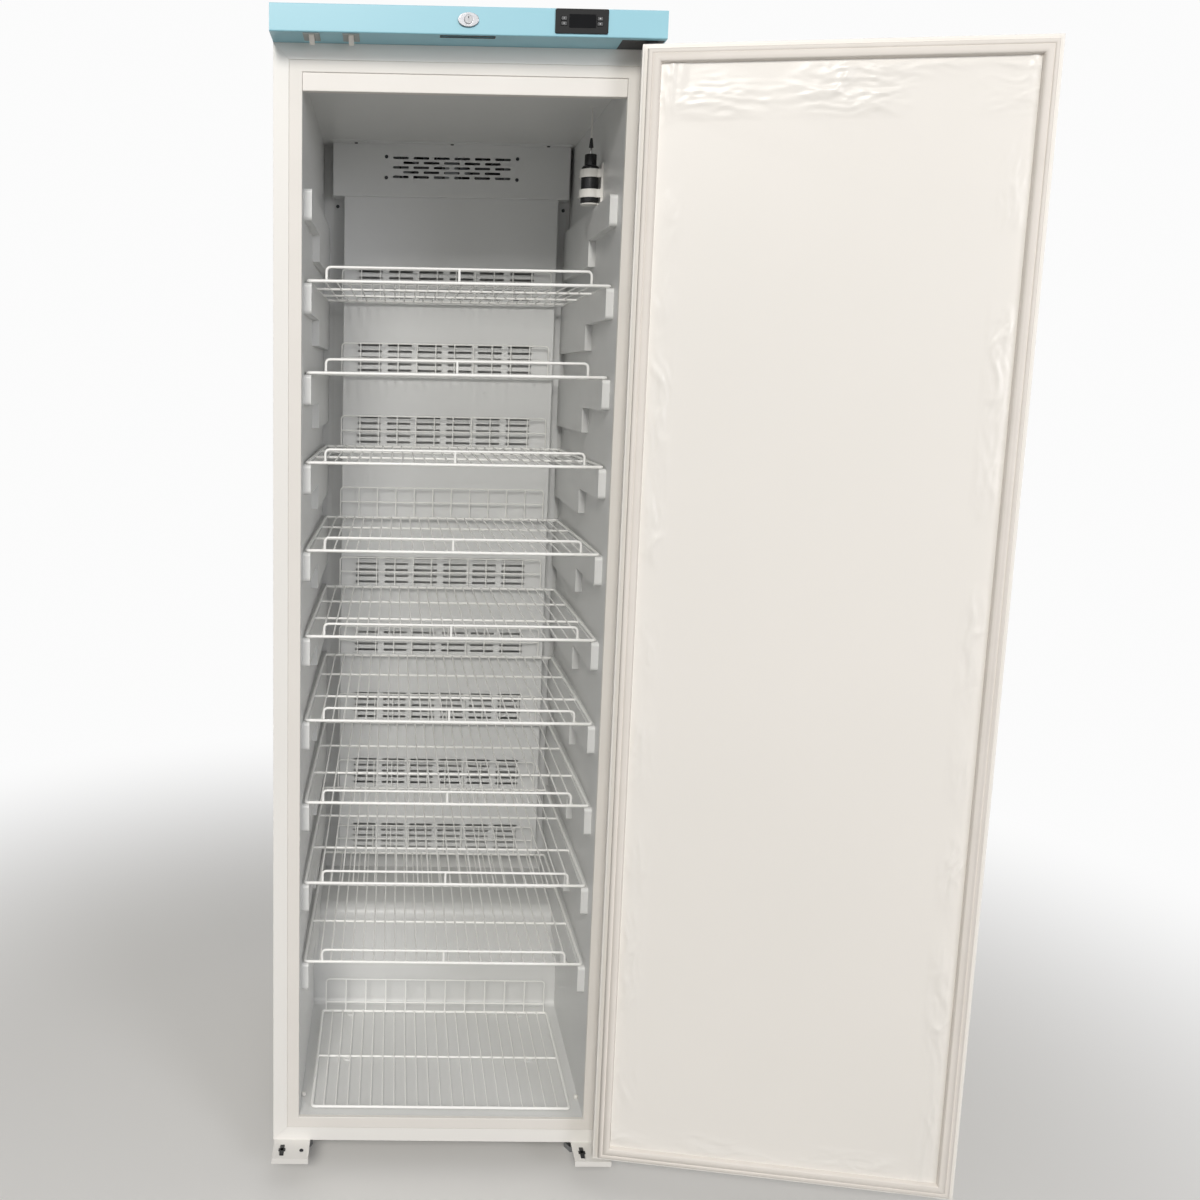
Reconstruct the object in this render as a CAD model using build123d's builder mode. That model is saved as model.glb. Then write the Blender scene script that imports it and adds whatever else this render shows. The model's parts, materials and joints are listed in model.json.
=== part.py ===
from build123d import *
import os

os.makedirs("parts", exist_ok=True)

# Upright medical refrigerator with a solid door, in millimetres. X runs across the cabinet to
# the right, Y into it, Z up. The origin is on the floor, below the middle of the cabinet's front.

# Cabinet casing
cabinet_width = 600
cabinet_depth = 640
cabinet_height = 1865.3
floor_clearance = 60
casing_sheet = 1.2
casing_flange = 24.5

# Opening and liner
breaker_side = 21
breaker_top = 18.5
breaker_bottom = 20
breaker_depth = 8
mitre_seam = 0.3
liner_wall = 2
back_insulation = 65
hump_nose_radius = 25
hump_cove_radius = 12
bay_height = 220
bay_depth = 222
bay_front_wall = 40
bay_roof_wall = 40.5

# Shelves and their moulded supports
shelf_count = 9
top_shelf_drop = 313.5
spare_support_rise = 149.2
lowest_shelf_rise = 270.7
shelf_setback = 46.6
shelf_duct_gap = 13.6
shelf_side_gap = 3.2
shelf_rail = 5.5
shelf_taper = 4.8
shelf_corner_radius = 8
shelf_wire = 2.6
shelf_wire_count = 24
upstand_wire = 4.5
front_upstand_inset = 37.3
front_upstand_height = 22
rear_upstand_inset = 31.5
rear_upstand_height = 62
rear_upstand_cells = 11
upstand_corner_radius = 9
support_reach = 12.5
support_front = 45
support_step = 240
support_rear_gap = 15
support_front_height = 51
support_rear_height = 97
support_corner_radius = 7

# Wire grid on the cavity floor
floor_grid_side_gap = 19
floor_grid_front = 20
floor_grid_rear_gap = 40
floor_grid_gap = 3
floor_grid_wire_count = 21
floor_upstand_foot = 17
floor_upstand_height = 52
floor_pad_radius = 9
floor_pad_inset = 60.5

# Header over the door
header_height = 40.9
header_reach = 57.8
header_run_back = 120
header_edge_radius = 2

# Temperature controller in the header
controller_width = 80.3
controller_height = 35.4
controller_side_gap = 130.5
controller_corner_radius = 2.5
controller_rise = 22.3
controller_bezel = 2.2
controller_body_depth = 52
controller_body_margin = 4.5
lens_width = 39.7
lens_height = 18.6
lens_depth = 1.2
lens_offset = 1
button_width = 8
button_height = 5
button_pitch = 7.4
button_proud = 1
button_depth = 4
button_travel = 0.6
button_corner_radius = 1
button_offset = 27.2

# Lock in the header
lock_offset = -1
lock_rise = 21.2
escutcheon_width = 31.7
escutcheon_height = 21
escutcheon_depth = 3
lock_barrel_radius = 9
lock_cylinder_radius = 6
lock_cylinder_proud = 0.8
cam_length = 38
cam_width = 12
cam_depth = 3
cam_setback = 8.6
cam_slot_width = 80
cam_slot_gap = 1.2
cam_pocket_width = 60
cam_pocket_depth = 14
key_slot_width = 1.8
key_slot_height = 8

# Door switches under the header
switch_side_gap = 62.5
switch_pitch = 60
switch_setback = 23
switch_plate_width = 25
switch_plate_depth = 38
switch_plate_thickness = 1.5
switch_body_height = 26
switch_body_margin = 2.5
switch_slot_wall = 1
switch_roof = 3
paddle_width = 8
paddle_length = 22.5
paddle_drop = 8.7
paddle_axle_radius = 1.5
paddle_hub_radius = 3
paddle_nose = 0.5
paddle_nose_rise = 2.5
paddle_back_slope = 3
paddle_slot_gap = 0.5

# Door, drawn shut and then turned open
door_side_gap = 3
door_thickness = 47.5
door_sheet = 1
door_return = 10
door_panel = 2
door_panel_margin = 3
door_top_gap = 7.3
door_bottom_gap = 10
door_edge_radius = 3
gasket_width = 22
gasket_margin = 9.5
gasket_compressed_gap = 0.3
hinge_side_offset = 18
hinge_setback = 22.8
door_rest_angle = 170.8

# Hinges
hinge_plate = 3
hinge_plate_width = 64
hinge_plate_edge = 2
hinge_plate_front_margin = 9.8
hinge_plate_seat = 35
hinge_plate_lip = 10
hinge_pin_radius = 5
hinge_pin_length = 22
hinge_collar_radius = 9
hinge_bush_radius = 8
hinge_bush_length = 30
spare_slot_width = 16
spare_slot_depth = 29

# Door handle
handle_edge_offset = 35
handle_length = 200
handle_height = 1000
handle_reach = 40
handle_bar = 9
handle_width = 20
handle_bend_radius = 20
handle_foot = 26
handle_foot_depth = 3

# Lamp bar under the cavity ceiling
light_bar_height = 27.8
light_bar_front = 1.5
light_bar_sole = 12
light_bar_depth = 30
light_bar_heel = 8
light_bar_end_gap = 0.2
diffuser_depth = 2

# Evaporator cover and its fans and coil
cover_left_gap = 19.5
cover_right_gap = 8
cover_reach = 45
cover_height = 104.3
cover_sheet = 1.2
cover_lip = 25
grille_slot_length = 32
grille_slot_height = 5.2
grille_pitch = 41.4
grille_row_pitch = 9.3
grille_rows = 5
grille_columns = 6
grille_drop = 46.5
fan_side = 92
fan_depth = 25
fan_spacing = 120
fan_bore_radius = 43
fan_hub_radius = 17
fan_shaft_radius = 2
fan_blades = 7
fan_strut_overlap = 2
recess_side_margin = 10.75
recess_depth = 25
recess_margin = 4
coil_side_gap = 15
coil_depth = 34
coil_top_gap = 12.3

# Air duct on the back wall
duct_left_gap = 42.5
duct_right_gap = 28.5
duct_reach = 37
duct_flange = 20
duct_clearance_above_hump = 49.5
duct_slot_left_margin = 31
duct_slot_right_margin = 45
duct_slot_height = 5
duct_row_pitch = 12.9
duct_rows = 5
duct_slot_rise = 35
duct_blank_level = 3

# Sample bottle with the temperature probe
bottle_radius = 15.3
bottle_body_height = 64
bottle_cap_radius = 10.4
bottle_cap_height = 19
bottle_wall_offset = 21.5
bottle_setback = 200
bottle_top_drop = 96.3
holder_plate = 4
holder_plate_width = 26
holder_plate_height = 68
holder_band = 3
holder_band_heights = (9, 43)
holder_band_tall = 14
holder_lip = 2
probe_radius = 3
probe_stem = 11
probe_lead_radius = 1.4

# Compressor bay
compressor_radius = 68
compressor_height = 165
compressor_dome = 30
compressor_foot_height = 12
compressor_foot_radius = 8
compressor_foot_spread = 62
condenser_side_gap = 40
condenser_depth = 44
condenser_height = 180
condenser_gap = 20
condenser_foot = 12
condenser_fan_margin = 2
condenser_fan_depth = 34
condenser_fan_wall = 8
condenser_fan_hub_radius = 26
condenser_fan_shaft_radius = 4
condenser_fan_blades = 5
pipe_radius = 3
pipe_bend_radius = 14
pipe_rise = 95
tray_compressor_gap = 22
tray_condenser_gap = 20
tray_rear_gap = 19
tray_depth = 110
tray_height = 32
tray_wall = 2
inlet_width = 48
inlet_height = 28
inlet_depth = 24
inlet_side_gap = 60
inlet_rise = 50
inlet_pocket_width = 26
inlet_pocket_height = 18
inlet_flange = 2
inlet_flange_radius = 3
inlet_flange_margin = 2
rear_slot_height = 6
rear_slot_pitch = 16
rear_slot_rows = 9
rear_slot_columns = 2

# Levelling feet
foot_pad_radius = 18
foot_pad_height = 10
foot_stem_radius = 5
foot_boss_radius = 9
foot_boss_height = 20
foot_inset = 48
foot_front_setback = 70
foot_rear_setback = 50
foot_stem_gap = 2

# Clearances
running_fit = 0.06
seat_gap = 0.3
fan_tip_gap = 3
fan_axial_gap = 1.5
motor_share = 0.28
blade_pitch = 35
blade_thickness = 1.5
blade_root = 3

# Limits worked out from the driving dimensions
half_width = cabinet_width / 2
casing_bottom = floor_clearance
casing_top = casing_bottom + cabinet_height
cavity_half = half_width - casing_flange - breaker_side
cavity_depth = cabinet_depth - back_insulation
cavity_floor = casing_bottom + casing_flange + breaker_bottom
cavity_ceiling = casing_top - casing_flange - breaker_top
bay_front = cabinet_depth - bay_depth
bay_roof = casing_bottom + bay_height
hump_front = bay_front - bay_front_wall
hump_top = bay_roof + bay_roof_wall
shelf_room = cavity_ceiling - top_shelf_drop - cavity_floor - lowest_shelf_rise
shelf_pitch = shelf_room / (shelf_count - 1)
duct_front = cavity_depth - duct_reach
support_rear = cavity_depth - support_rear_gap
shelf_depth = duct_front - shelf_duct_gap - shelf_setback
floor_grid_width = 2 * (cavity_half - floor_grid_side_gap)
floor_grid_depth = hump_front - floor_grid_rear_gap - floor_grid_front
header_front = -header_reach
header_top = casing_top + header_height
casing_outer = (-half_width, casing_bottom, half_width, casing_top)
casing_inner = (-half_width + casing_flange, casing_bottom + casing_flange,
                half_width - casing_flange, casing_top - casing_flange)
cavity_outline = (-cavity_half, cavity_floor, cavity_half, cavity_ceiling)


def block(x_span, y_span, z_span, mode=Mode.ADD):
    """A box between two limits on each axis."""
    with Locations((x_span[0], y_span[0], z_span[0])):
        Box(x_span[1] - x_span[0], y_span[1] - y_span[0], z_span[1] - z_span[0],
            align=(Align.MIN, Align.MIN, Align.MIN), mode=mode)


def around(centre, size):
    """The two limits of a size about a centre."""
    return centre - size / 2, centre + size / 2


def frame_side(outer, inner, side, seam=0):
    """Corners of one mitred side of an upright frame: 0 lower, 1 right, 2 upper, 3 left."""
    x0, z0, x1, z1 = outer
    u0, w0, u1, w1 = inner
    if side == 0:
        return (x0 + seam, z0), (x1 - seam, z0), (u1 - seam, w0), (u0 + seam, w0)
    if side == 1:
        return (x1, z0 + seam), (x1, z1 - seam), (u1, w1 - seam), (u1, w0 + seam)
    if side == 2:
        return (x1 - seam, z1), (x0 + seam, z1), (u0 + seam, w1), (u1 - seam, w1)
    return (x0, z1 - seam), (x0, z0 + seam), (u0, w0 + seam), (u0, w1 - seam)


def shrink(outline, margin):
    """An upright rectangle with the same margin taken off each side."""
    x0, z0, x1, z1 = outline
    return x0 + margin, z0 + margin, x1 - margin, z1 - margin


def shelf_level(index):
    """Middle of a shelf's outer rail; index 0 is the highest shelf in use."""
    return cavity_ceiling - top_shelf_drop - index * shelf_pitch


# Side panels: sheets along the sides with the front flange folded in and mitred
with BuildPart() as side_panels:
    with BuildSketch(Plane.XZ):
        for side in (1, 3):
            Polygon(*frame_side(casing_outer, casing_inner, side), align=None)
    extrude(amount=-casing_sheet)
    for sheet_left in (-half_width, half_width - casing_sheet):
        block((sheet_left, sheet_left + casing_sheet), (casing_sheet, cabinet_depth),
              (casing_bottom, casing_top))
side_panels.part.label = "side_panels"
export_step(side_panels.part, "parts/side_panels.step")

inside_casing = (-half_width + casing_sheet, half_width - casing_sheet)

# Top panel between the side sheets
with BuildPart() as top_panel:
    with BuildSketch(Plane.XZ):
        Polygon(*frame_side(casing_outer, casing_inner, 2), align=None)
    extrude(amount=-casing_sheet)
    block(inside_casing, (casing_sheet, cabinet_depth), (casing_top - casing_sheet, casing_top))
top_panel.part.label = "top_panel"
export_step(top_panel.part, "parts/top_panel.step")

# Base pan with a hexagonal weld nut over each levelling foot
foot_places = [
    (side * (half_width - foot_inset), place)
    for place in (foot_front_setback, cabinet_depth - foot_rear_setback)
    for side in (-1, 1)
]
with BuildPart() as base_pan:
    with BuildSketch(Plane.XZ):
        Polygon(*frame_side(casing_outer, casing_inner, 0), align=None)
    extrude(amount=-casing_sheet)
    block(inside_casing, (casing_sheet, cabinet_depth), (casing_bottom, casing_bottom + casing_sheet))
    with BuildSketch(Plane.XY.offset(casing_bottom)):
        with Locations(*foot_places):
            RegularPolygon(foot_boss_radius, 6)
            Circle(foot_stem_radius + running_fit, mode=Mode.SUBTRACT)
    extrude(amount=-foot_boss_height)
base_pan.part.label = "base_pan"
export_step(base_pan.part, "parts/base_pan.step")

# Levelling feet: a hexagonal pad, to be turned by hand or with a spanner, on a stem that runs in the nut
for number, (foot_x, foot_y) in enumerate(foot_places, start=1):
    with BuildPart() as levelling_foot:
        with BuildSketch(Plane.XY):
            with Locations((foot_x, foot_y)):
                RegularPolygon(foot_pad_radius, 6)
        extrude(amount=foot_pad_height)
        with BuildSketch(Plane.XY.offset(foot_pad_height)):
            with Locations((foot_x, foot_y)):
                Circle(foot_stem_radius)
        extrude(amount=casing_bottom - foot_pad_height - foot_stem_gap)
    levelling_foot.part.label = f"levelling_foot_{number}"
    export_step(levelling_foot.part, f"parts/levelling_foot_{number}.step")

# Rear casing: one bent sheet, down the back and round the roof and front of the compressor bay
with BuildPart() as rear_casing:
    with BuildSketch(Plane.YZ.offset(-half_width + casing_sheet)):
        with BuildLine():
            Polyline((cabinet_depth, casing_top - casing_sheet), (cabinet_depth, bay_roof),
                     (bay_front, bay_roof), (bay_front, casing_bottom + casing_sheet))
            offset(amount=casing_sheet, side=Side.RIGHT)
        make_face()
    extrude(amount=cabinet_width - 2 * casing_sheet)
rear_casing.part.label = "rear_casing"
export_step(rear_casing.part, "parts/rear_casing.step")

# Rear grille: punched cover of the compressor bay with the cut-out of the mains inlet
grille_plane = Plane.XZ.offset(-cabinet_depth)
bay_floor = casing_bottom + casing_sheet
inlet_height_above_floor = bay_floor + inlet_rise
inlet_hole_width = inlet_width - 2 * inlet_flange_margin
inlet_hole_height = inlet_height - 2 * inlet_flange_margin
condenser_middle = bay_floor + condenser_foot + condenser_height / 2
condenser_offset = half_width / 2
condenser_width = half_width - 2 * condenser_side_gap
rear_slot_length = condenser_width / 2
inlet_offset = -half_width + inlet_side_gap
with BuildPart() as rear_grille:
    block(inside_casing, (cabinet_depth - casing_sheet, cabinet_depth), (bay_floor, bay_roof - seat_gap))
    with BuildSketch(grille_plane):
        with Locations((condenser_offset, condenser_middle)):
            with GridLocations(rear_slot_length + 2 * rear_slot_height, rear_slot_pitch,
                               rear_slot_columns, rear_slot_rows):
                Rectangle(rear_slot_length, rear_slot_height)
        with Locations((inlet_offset, inlet_height_above_floor)):
            Rectangle(inlet_hole_width, inlet_hole_height)
    extrude(amount=casing_sheet, both=True, mode=Mode.SUBTRACT)
rear_grille.part.label = "rear_grille"
export_step(rear_grille.part, "parts/rear_grille.step")

# Mains inlet: flanged appliance socket set in the grille
with BuildPart() as mains_inlet:
    with BuildSketch(grille_plane):
        with Locations((inlet_offset, inlet_height_above_floor)):
            RectangleRounded(inlet_width, inlet_height, inlet_flange_radius)
    extrude(amount=-inlet_flange)
    with BuildSketch(grille_plane):
        with Locations((inlet_offset, inlet_height_above_floor)):
            Rectangle(inlet_hole_width - 2 * seat_gap, inlet_hole_height - 2 * seat_gap)
    extrude(amount=inlet_depth)
    with BuildSketch(grille_plane.offset(-inlet_flange)):
        with Locations((inlet_offset, inlet_height_above_floor)):
            RectangleRounded(inlet_pocket_width, inlet_pocket_height, inlet_flange_radius)
    extrude(amount=inlet_depth - inlet_flange, mode=Mode.SUBTRACT)
mains_inlet.part.label = "mains_inlet"
export_step(mains_inlet.part, "parts/mains_inlet.step")

# Liner walls: ceiling, and flat sides with a stepped moulded support below each shelf level
liner_outline = (
    (breaker_depth, cavity_floor - liner_wall), (hump_front + liner_wall, cavity_floor - liner_wall),
    (hump_front + liner_wall, hump_top - liner_wall), (cavity_depth + liner_wall, hump_top - liner_wall),
    (cavity_depth + liner_wall, cavity_ceiling + liner_wall), (breaker_depth, cavity_ceiling + liner_wall))


def liner_section(plane):
    """Outer outline of the liner from front to back, with the rounded step over the bay."""
    with BuildSketch(plane) as section:
        with BuildLine():
            FilletPolyline(*liner_outline[:4], radius=(hump_cove_radius + liner_wall,
                                                       hump_nose_radius - liner_wall))
            Polyline(*liner_outline[3:], liner_outline[0])
        make_face()
    return section.sketch


support_levels = [shelf_level(0) + spare_support_rise] + [shelf_level(index) for index in range(shelf_count)]
with BuildPart() as liner_sides:
    for outward in (-1, 1):
        extrude(liner_section(Plane.YZ.offset(outward * cavity_half)), amount=outward * liner_wall)
        with BuildSketch(Plane.YZ.offset(outward * cavity_half)):
            for level in support_levels:
                support_top = level - shelf_rail / 2 - seat_gap
                front_low = support_top - support_front_height
                rear_low = support_top - support_rear_height
                with BuildLine():
                    FilletPolyline((support_rear, support_top), (support_front, support_top),
                                   (support_front, front_low), (support_step, front_low),
                                   radius=support_corner_radius)
                    Polyline((support_step, front_low), (support_step, rear_low), (support_rear, rear_low),
                             (support_rear, support_top))
                make_face()
        extrude(amount=-outward * support_reach)
    block((-cavity_half, cavity_half), (hump_front, cavity_depth), (cavity_floor, hump_top), mode=Mode.SUBTRACT)
with BuildPart() as liner_ceiling:
    block((-cavity_half, cavity_half), (breaker_depth, cavity_depth + liner_wall),
          (cavity_ceiling, cavity_ceiling + liner_wall))
liner_walls = Compound(label="liner_walls", children=[liner_sides.part, liner_ceiling.part])
export_step(liner_walls, "parts/liner_walls.step")

# Liner back with the recess that holds the evaporator coil
cover_bottom = cavity_ceiling - cover_height
cover_span = (-cavity_half + cover_left_gap, cavity_half - cover_right_gap)
air_centre = (cover_span[0] + cover_span[1]) / 2
recess_span = (cover_span[0] + recess_side_margin, cover_span[1] - recess_side_margin)
recess_height = (cover_bottom + recess_margin, cavity_ceiling - recess_margin)
recess_back = cavity_depth + recess_depth
with BuildPart() as liner_back:
    block((-cavity_half, cavity_half), (cavity_depth, cavity_depth + liner_wall), (hump_top, cavity_ceiling))
    block((recess_span[0] - liner_wall, recess_span[1] + liner_wall),
          (cavity_depth, recess_back + liner_wall),
          (recess_height[0] - liner_wall, recess_height[1] + liner_wall))
    block(recess_span, (cavity_depth, recess_back), recess_height, mode=Mode.SUBTRACT)
liner_back.part.label = "liner_back"
export_step(liner_back.part, "parts/liner_back.step")

# Liner floor: floor, rounded step over the compressor bay, and the pads below the floor grid
grid_bar_y = floor_grid_front + floor_grid_depth / 2
grid_rear_rail_y = floor_grid_front + floor_grid_depth - shelf_rail / 2
floor_pad_reach = floor_grid_width / 2 - floor_pad_inset
pad_places = [(side * floor_pad_reach, row) for side in (-1, 1) for row in (grid_bar_y, grid_rear_rail_y)]
with BuildPart() as liner_floor:
    with BuildSketch(Plane.YZ.offset(-cavity_half)):
        with BuildLine():
            FilletPolyline((breaker_depth, cavity_floor), (hump_front, cavity_floor),
                           (hump_front, hump_top), (cavity_depth + liner_wall, hump_top),
                           radius=(hump_cove_radius, hump_nose_radius))
            offset(amount=liner_wall, side=Side.RIGHT)
        make_face()
    extrude(amount=2 * cavity_half)
    with BuildSketch(Plane.XY.offset(cavity_floor)):
        with Locations(*pad_places):
            Circle(floor_pad_radius)
    extrude(amount=floor_grid_gap - seat_gap)
liner_floor.part.label = "liner_floor"
export_step(liner_floor.part, "parts/liner_floor.step")

# Insulation foam between casing and liner, cut away over the compressor bay
with BuildPart() as insulation_foam:
    block(inside_casing, (breaker_depth, cabinet_depth - casing_sheet),
          (casing_bottom + casing_sheet, casing_top - casing_sheet))
    extrude(liner_section(Plane.YZ.offset(-cavity_half - liner_wall)),
            amount=2 * (cavity_half + liner_wall), mode=Mode.SUBTRACT)
    block((recess_span[0] - liner_wall, recess_span[1] + liner_wall),
          (cavity_depth, recess_back + liner_wall),
          (recess_height[0] - liner_wall, recess_height[1] + liner_wall), mode=Mode.SUBTRACT)
    block(inside_casing, (bay_front - casing_sheet, cabinet_depth), (casing_bottom, bay_roof + casing_sheet),
          mode=Mode.SUBTRACT)
insulation_foam.part.label = "insulation_foam"
export_step(insulation_foam.part, "parts/insulation_foam.step")

# Breaker frame: four mitred strips round the opening
with BuildPart() as breaker_frame:
    with BuildSketch(Plane.XZ):
        for side in range(4):
            Polygon(*frame_side(casing_inner, cavity_outline, side, mitre_seam), align=None)
    extrude(amount=-breaker_depth)
breaker_frame.part.label = "breaker_frame"
export_step(breaker_frame.part, "parts/breaker_frame.step")

# Hinge line and the plates that carry it
door_half = half_width - door_side_gap
hinge_x = half_width - hinge_side_offset
hinge_y = header_front + hinge_setback
door_bottom = casing_bottom + door_bottom_gap
door_top = casing_top - door_top_gap
plate_right = half_width - hinge_plate_edge
plate_left = plate_right - hinge_plate_width
plate_front = header_front + hinge_plate_front_margin
with BuildPart() as hinge_brackets:
    # upper plate lies on the top panel and reaches out under the header
    block((plate_left, plate_right), (plate_front, hinge_plate_seat), (casing_top, casing_top + hinge_plate))
    with BuildSketch(Plane.XY.offset(casing_top)):
        with Locations((hinge_x, hinge_y)):
            Circle(hinge_collar_radius)
    extrude(amount=-(door_top_gap - seat_gap))
    with BuildSketch(Plane.XY.offset(casing_top)):
        with Locations((hinge_x, hinge_y)):
            Circle(hinge_pin_radius)
    extrude(amount=-(door_top_gap + hinge_pin_length))
    # lower plates lie under the base pan, with a lip folded down at the front
    for mirrored in (False, True):
        plate_span = (-plate_right, -plate_left) if mirrored else (plate_left, plate_right)
        block(plate_span, (plate_front, hinge_plate_seat), (casing_bottom - hinge_plate, casing_bottom))
        block(plate_span, (plate_front - hinge_plate, plate_front),
              (casing_bottom - hinge_plate_lip, casing_bottom))
        slot_centre = (-1 if mirrored else 1) * (hinge_x if mirrored else plate_left + spare_slot_width)
        with BuildSketch(Plane.XY.offset(casing_bottom)):
            with Locations((slot_centre, hinge_y + spare_slot_depth / 4)):
                Rectangle(spare_slot_width / 2, spare_slot_depth)
        extrude(amount=-hinge_plate, mode=Mode.SUBTRACT)
    with BuildSketch(Plane.XY.offset(casing_bottom)):
        with Locations((hinge_x, hinge_y)):
            Circle(hinge_collar_radius)
    extrude(amount=door_bottom_gap - seat_gap)
    with BuildSketch(Plane.XY.offset(casing_bottom)):
        with Locations((hinge_x, hinge_y)):
            Circle(hinge_pin_radius)
    extrude(amount=door_bottom_gap + hinge_pin_length)
hinge_brackets.part.label = "hinge_brackets"
export_step(hinge_brackets.part, "parts/hinge_brackets.step")

# Header cover: bent sheet box over the door, open where it stands on the top panel
header_plane = Plane.XZ.offset(header_reach)
controller_offset = half_width - controller_side_gap
controller_z = casing_top + controller_rise
lock_z = casing_top + lock_rise
cam_front = header_front + cam_setback
switch_plate_centre = header_front + switch_setback
switch_offsets = (-half_width + switch_side_gap, -half_width + switch_side_gap + switch_pitch)
header_room = (header_front + casing_sheet, header_run_back - casing_sheet)
controller_body_width = controller_width - 2 * controller_body_margin
controller_body_height = controller_height - 2 * controller_body_margin
switch_body_width = switch_plate_width - 2 * switch_body_margin
switch_body_depth = switch_plate_depth - 2 * switch_body_margin
with BuildPart() as header_cover:
    with BuildSketch(Plane.YZ.offset(-half_width)):
        with BuildLine():
            FilletPolyline((header_run_back, header_top), (header_front, header_top),
                           (header_front, casing_top), (header_run_back, casing_top),
                           radius=header_edge_radius)
            Line((header_run_back, casing_top), (header_run_back, header_top))
        make_face()
    extrude(amount=cabinet_width)
    block(inside_casing, header_room, (casing_top + casing_sheet, header_top - casing_sheet),
          mode=Mode.SUBTRACT)
    block(inside_casing, (0, header_room[1]), (casing_top, casing_top + casing_sheet), mode=Mode.SUBTRACT)
    block((plate_left - seat_gap, plate_right + seat_gap), (plate_front - seat_gap, 0),
          (casing_top, casing_top + casing_sheet), mode=Mode.SUBTRACT)
    block(around(lock_offset, cam_slot_width), (cam_front - cam_slot_gap, cam_front + cam_depth + cam_slot_gap),
          (casing_top, casing_top + casing_sheet), mode=Mode.SUBTRACT)
    for switch_x in switch_offsets:
        block(around(switch_x, switch_body_width + 2 * seat_gap),
              around(switch_plate_centre, switch_body_depth + 2 * seat_gap),
              (casing_top, casing_top + casing_sheet), mode=Mode.SUBTRACT)
    with BuildSketch(header_plane):
        with Locations((controller_offset, controller_z)):
            Rectangle(controller_body_width + 2 * seat_gap, controller_body_height + 2 * seat_gap)
        with Locations((lock_offset, lock_z)):
            Circle(lock_barrel_radius + seat_gap)
    extrude(amount=-casing_sheet, mode=Mode.SUBTRACT)
header_cover.part.label = "header_cover"
export_step(header_cover.part, "parts/header_cover.step")

# Controller housing: bezel, body behind the sheet, display recess and four button wells
bezel_plane = header_plane.offset(controller_bezel)
button_places = [
    (controller_offset + side * button_offset, controller_z + step * button_pitch / 2)
    for side in (-1, 1)
    for step in (1, -1)
]
with BuildPart() as controller_housing:
    with BuildSketch(header_plane):
        with Locations((controller_offset, controller_z)):
            RectangleRounded(controller_width, controller_height, controller_corner_radius)
    extrude(amount=controller_bezel)
    with BuildSketch(header_plane):
        with Locations((controller_offset, controller_z)):
            Rectangle(controller_body_width, controller_body_height)
    extrude(amount=-controller_body_depth)
    with BuildSketch(bezel_plane):
        with Locations((controller_offset + lens_offset, controller_z)):
            Rectangle(lens_width, lens_height)
    extrude(amount=-lens_depth, mode=Mode.SUBTRACT)
    with BuildSketch(bezel_plane):
        with Locations(*button_places):
            Rectangle(button_width + 2 * seat_gap, button_height + 2 * seat_gap)
    extrude(amount=-button_depth, mode=Mode.SUBTRACT)
controller_housing.part.label = "controller_housing"
export_step(controller_housing.part, "parts/controller_housing.step")

with BuildPart() as controller_lens:
    with BuildSketch(bezel_plane):
        with Locations((controller_offset + lens_offset, controller_z)):
            Rectangle(lens_width, lens_height)
    extrude(amount=-lens_depth)
controller_lens.part.label = "controller_lens"
export_step(controller_lens.part, "parts/controller_lens.step")

# Controller buttons: caps that travel back into their wells
for number, place in enumerate(button_places, start=1):
    with BuildPart() as button:
        with BuildSketch(bezel_plane.offset(button_proud)):
            with Locations(place):
                RectangleRounded(button_width, button_height, button_corner_radius)
        extrude(amount=-(button_proud + button_depth - button_travel - seat_gap))
    button.part.label = f"button_{number}"
    export_step(button.part, f"parts/button_{number}.step")

# Lock: fixed oval escutcheon with its barrel, and the turning cylinder with the cam
with BuildPart() as lock_escutcheon:
    with BuildSketch(header_plane):
        with Locations((lock_offset, lock_z)):
            Ellipse(escutcheon_width / 2, escutcheon_height / 2)
    extrude(amount=escutcheon_depth)
    with BuildSketch(header_plane):
        with Locations((lock_offset, lock_z)):
            Circle(lock_barrel_radius)
    extrude(amount=-(cam_setback - seat_gap))
    with BuildSketch(header_plane.offset(escutcheon_depth)):
        with Locations((lock_offset, lock_z)):
            Circle(lock_cylinder_radius + running_fit)
    extrude(amount=-(cam_setback + escutcheon_depth), mode=Mode.SUBTRACT)
lock_escutcheon.part.label = "lock_escutcheon"
export_step(lock_escutcheon.part, "parts/lock_escutcheon.step")

with BuildPart() as lock_cam:
    with BuildSketch(header_plane.offset(escutcheon_depth + lock_cylinder_proud)):
        with Locations((lock_offset, lock_z)):
            Circle(lock_cylinder_radius)
    extrude(amount=-(escutcheon_depth + lock_cylinder_proud + cam_setback))
    with BuildSketch(header_plane.offset(-cam_setback)):
        with Locations((lock_offset + (cam_length - cam_width / 2) / 2, lock_z)):
            Rectangle(cam_length + cam_width / 2, cam_width)
    extrude(amount=-cam_depth)
    with BuildSketch(header_plane.offset(escutcheon_depth + lock_cylinder_proud)):
        with Locations((lock_offset, lock_z)):
            Rectangle(key_slot_width, key_slot_height)
    extrude(amount=-escutcheon_depth, mode=Mode.SUBTRACT)
lock_cam.part.label = "lock_cam"
export_step(lock_cam.part, "parts/lock_cam.step")

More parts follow.
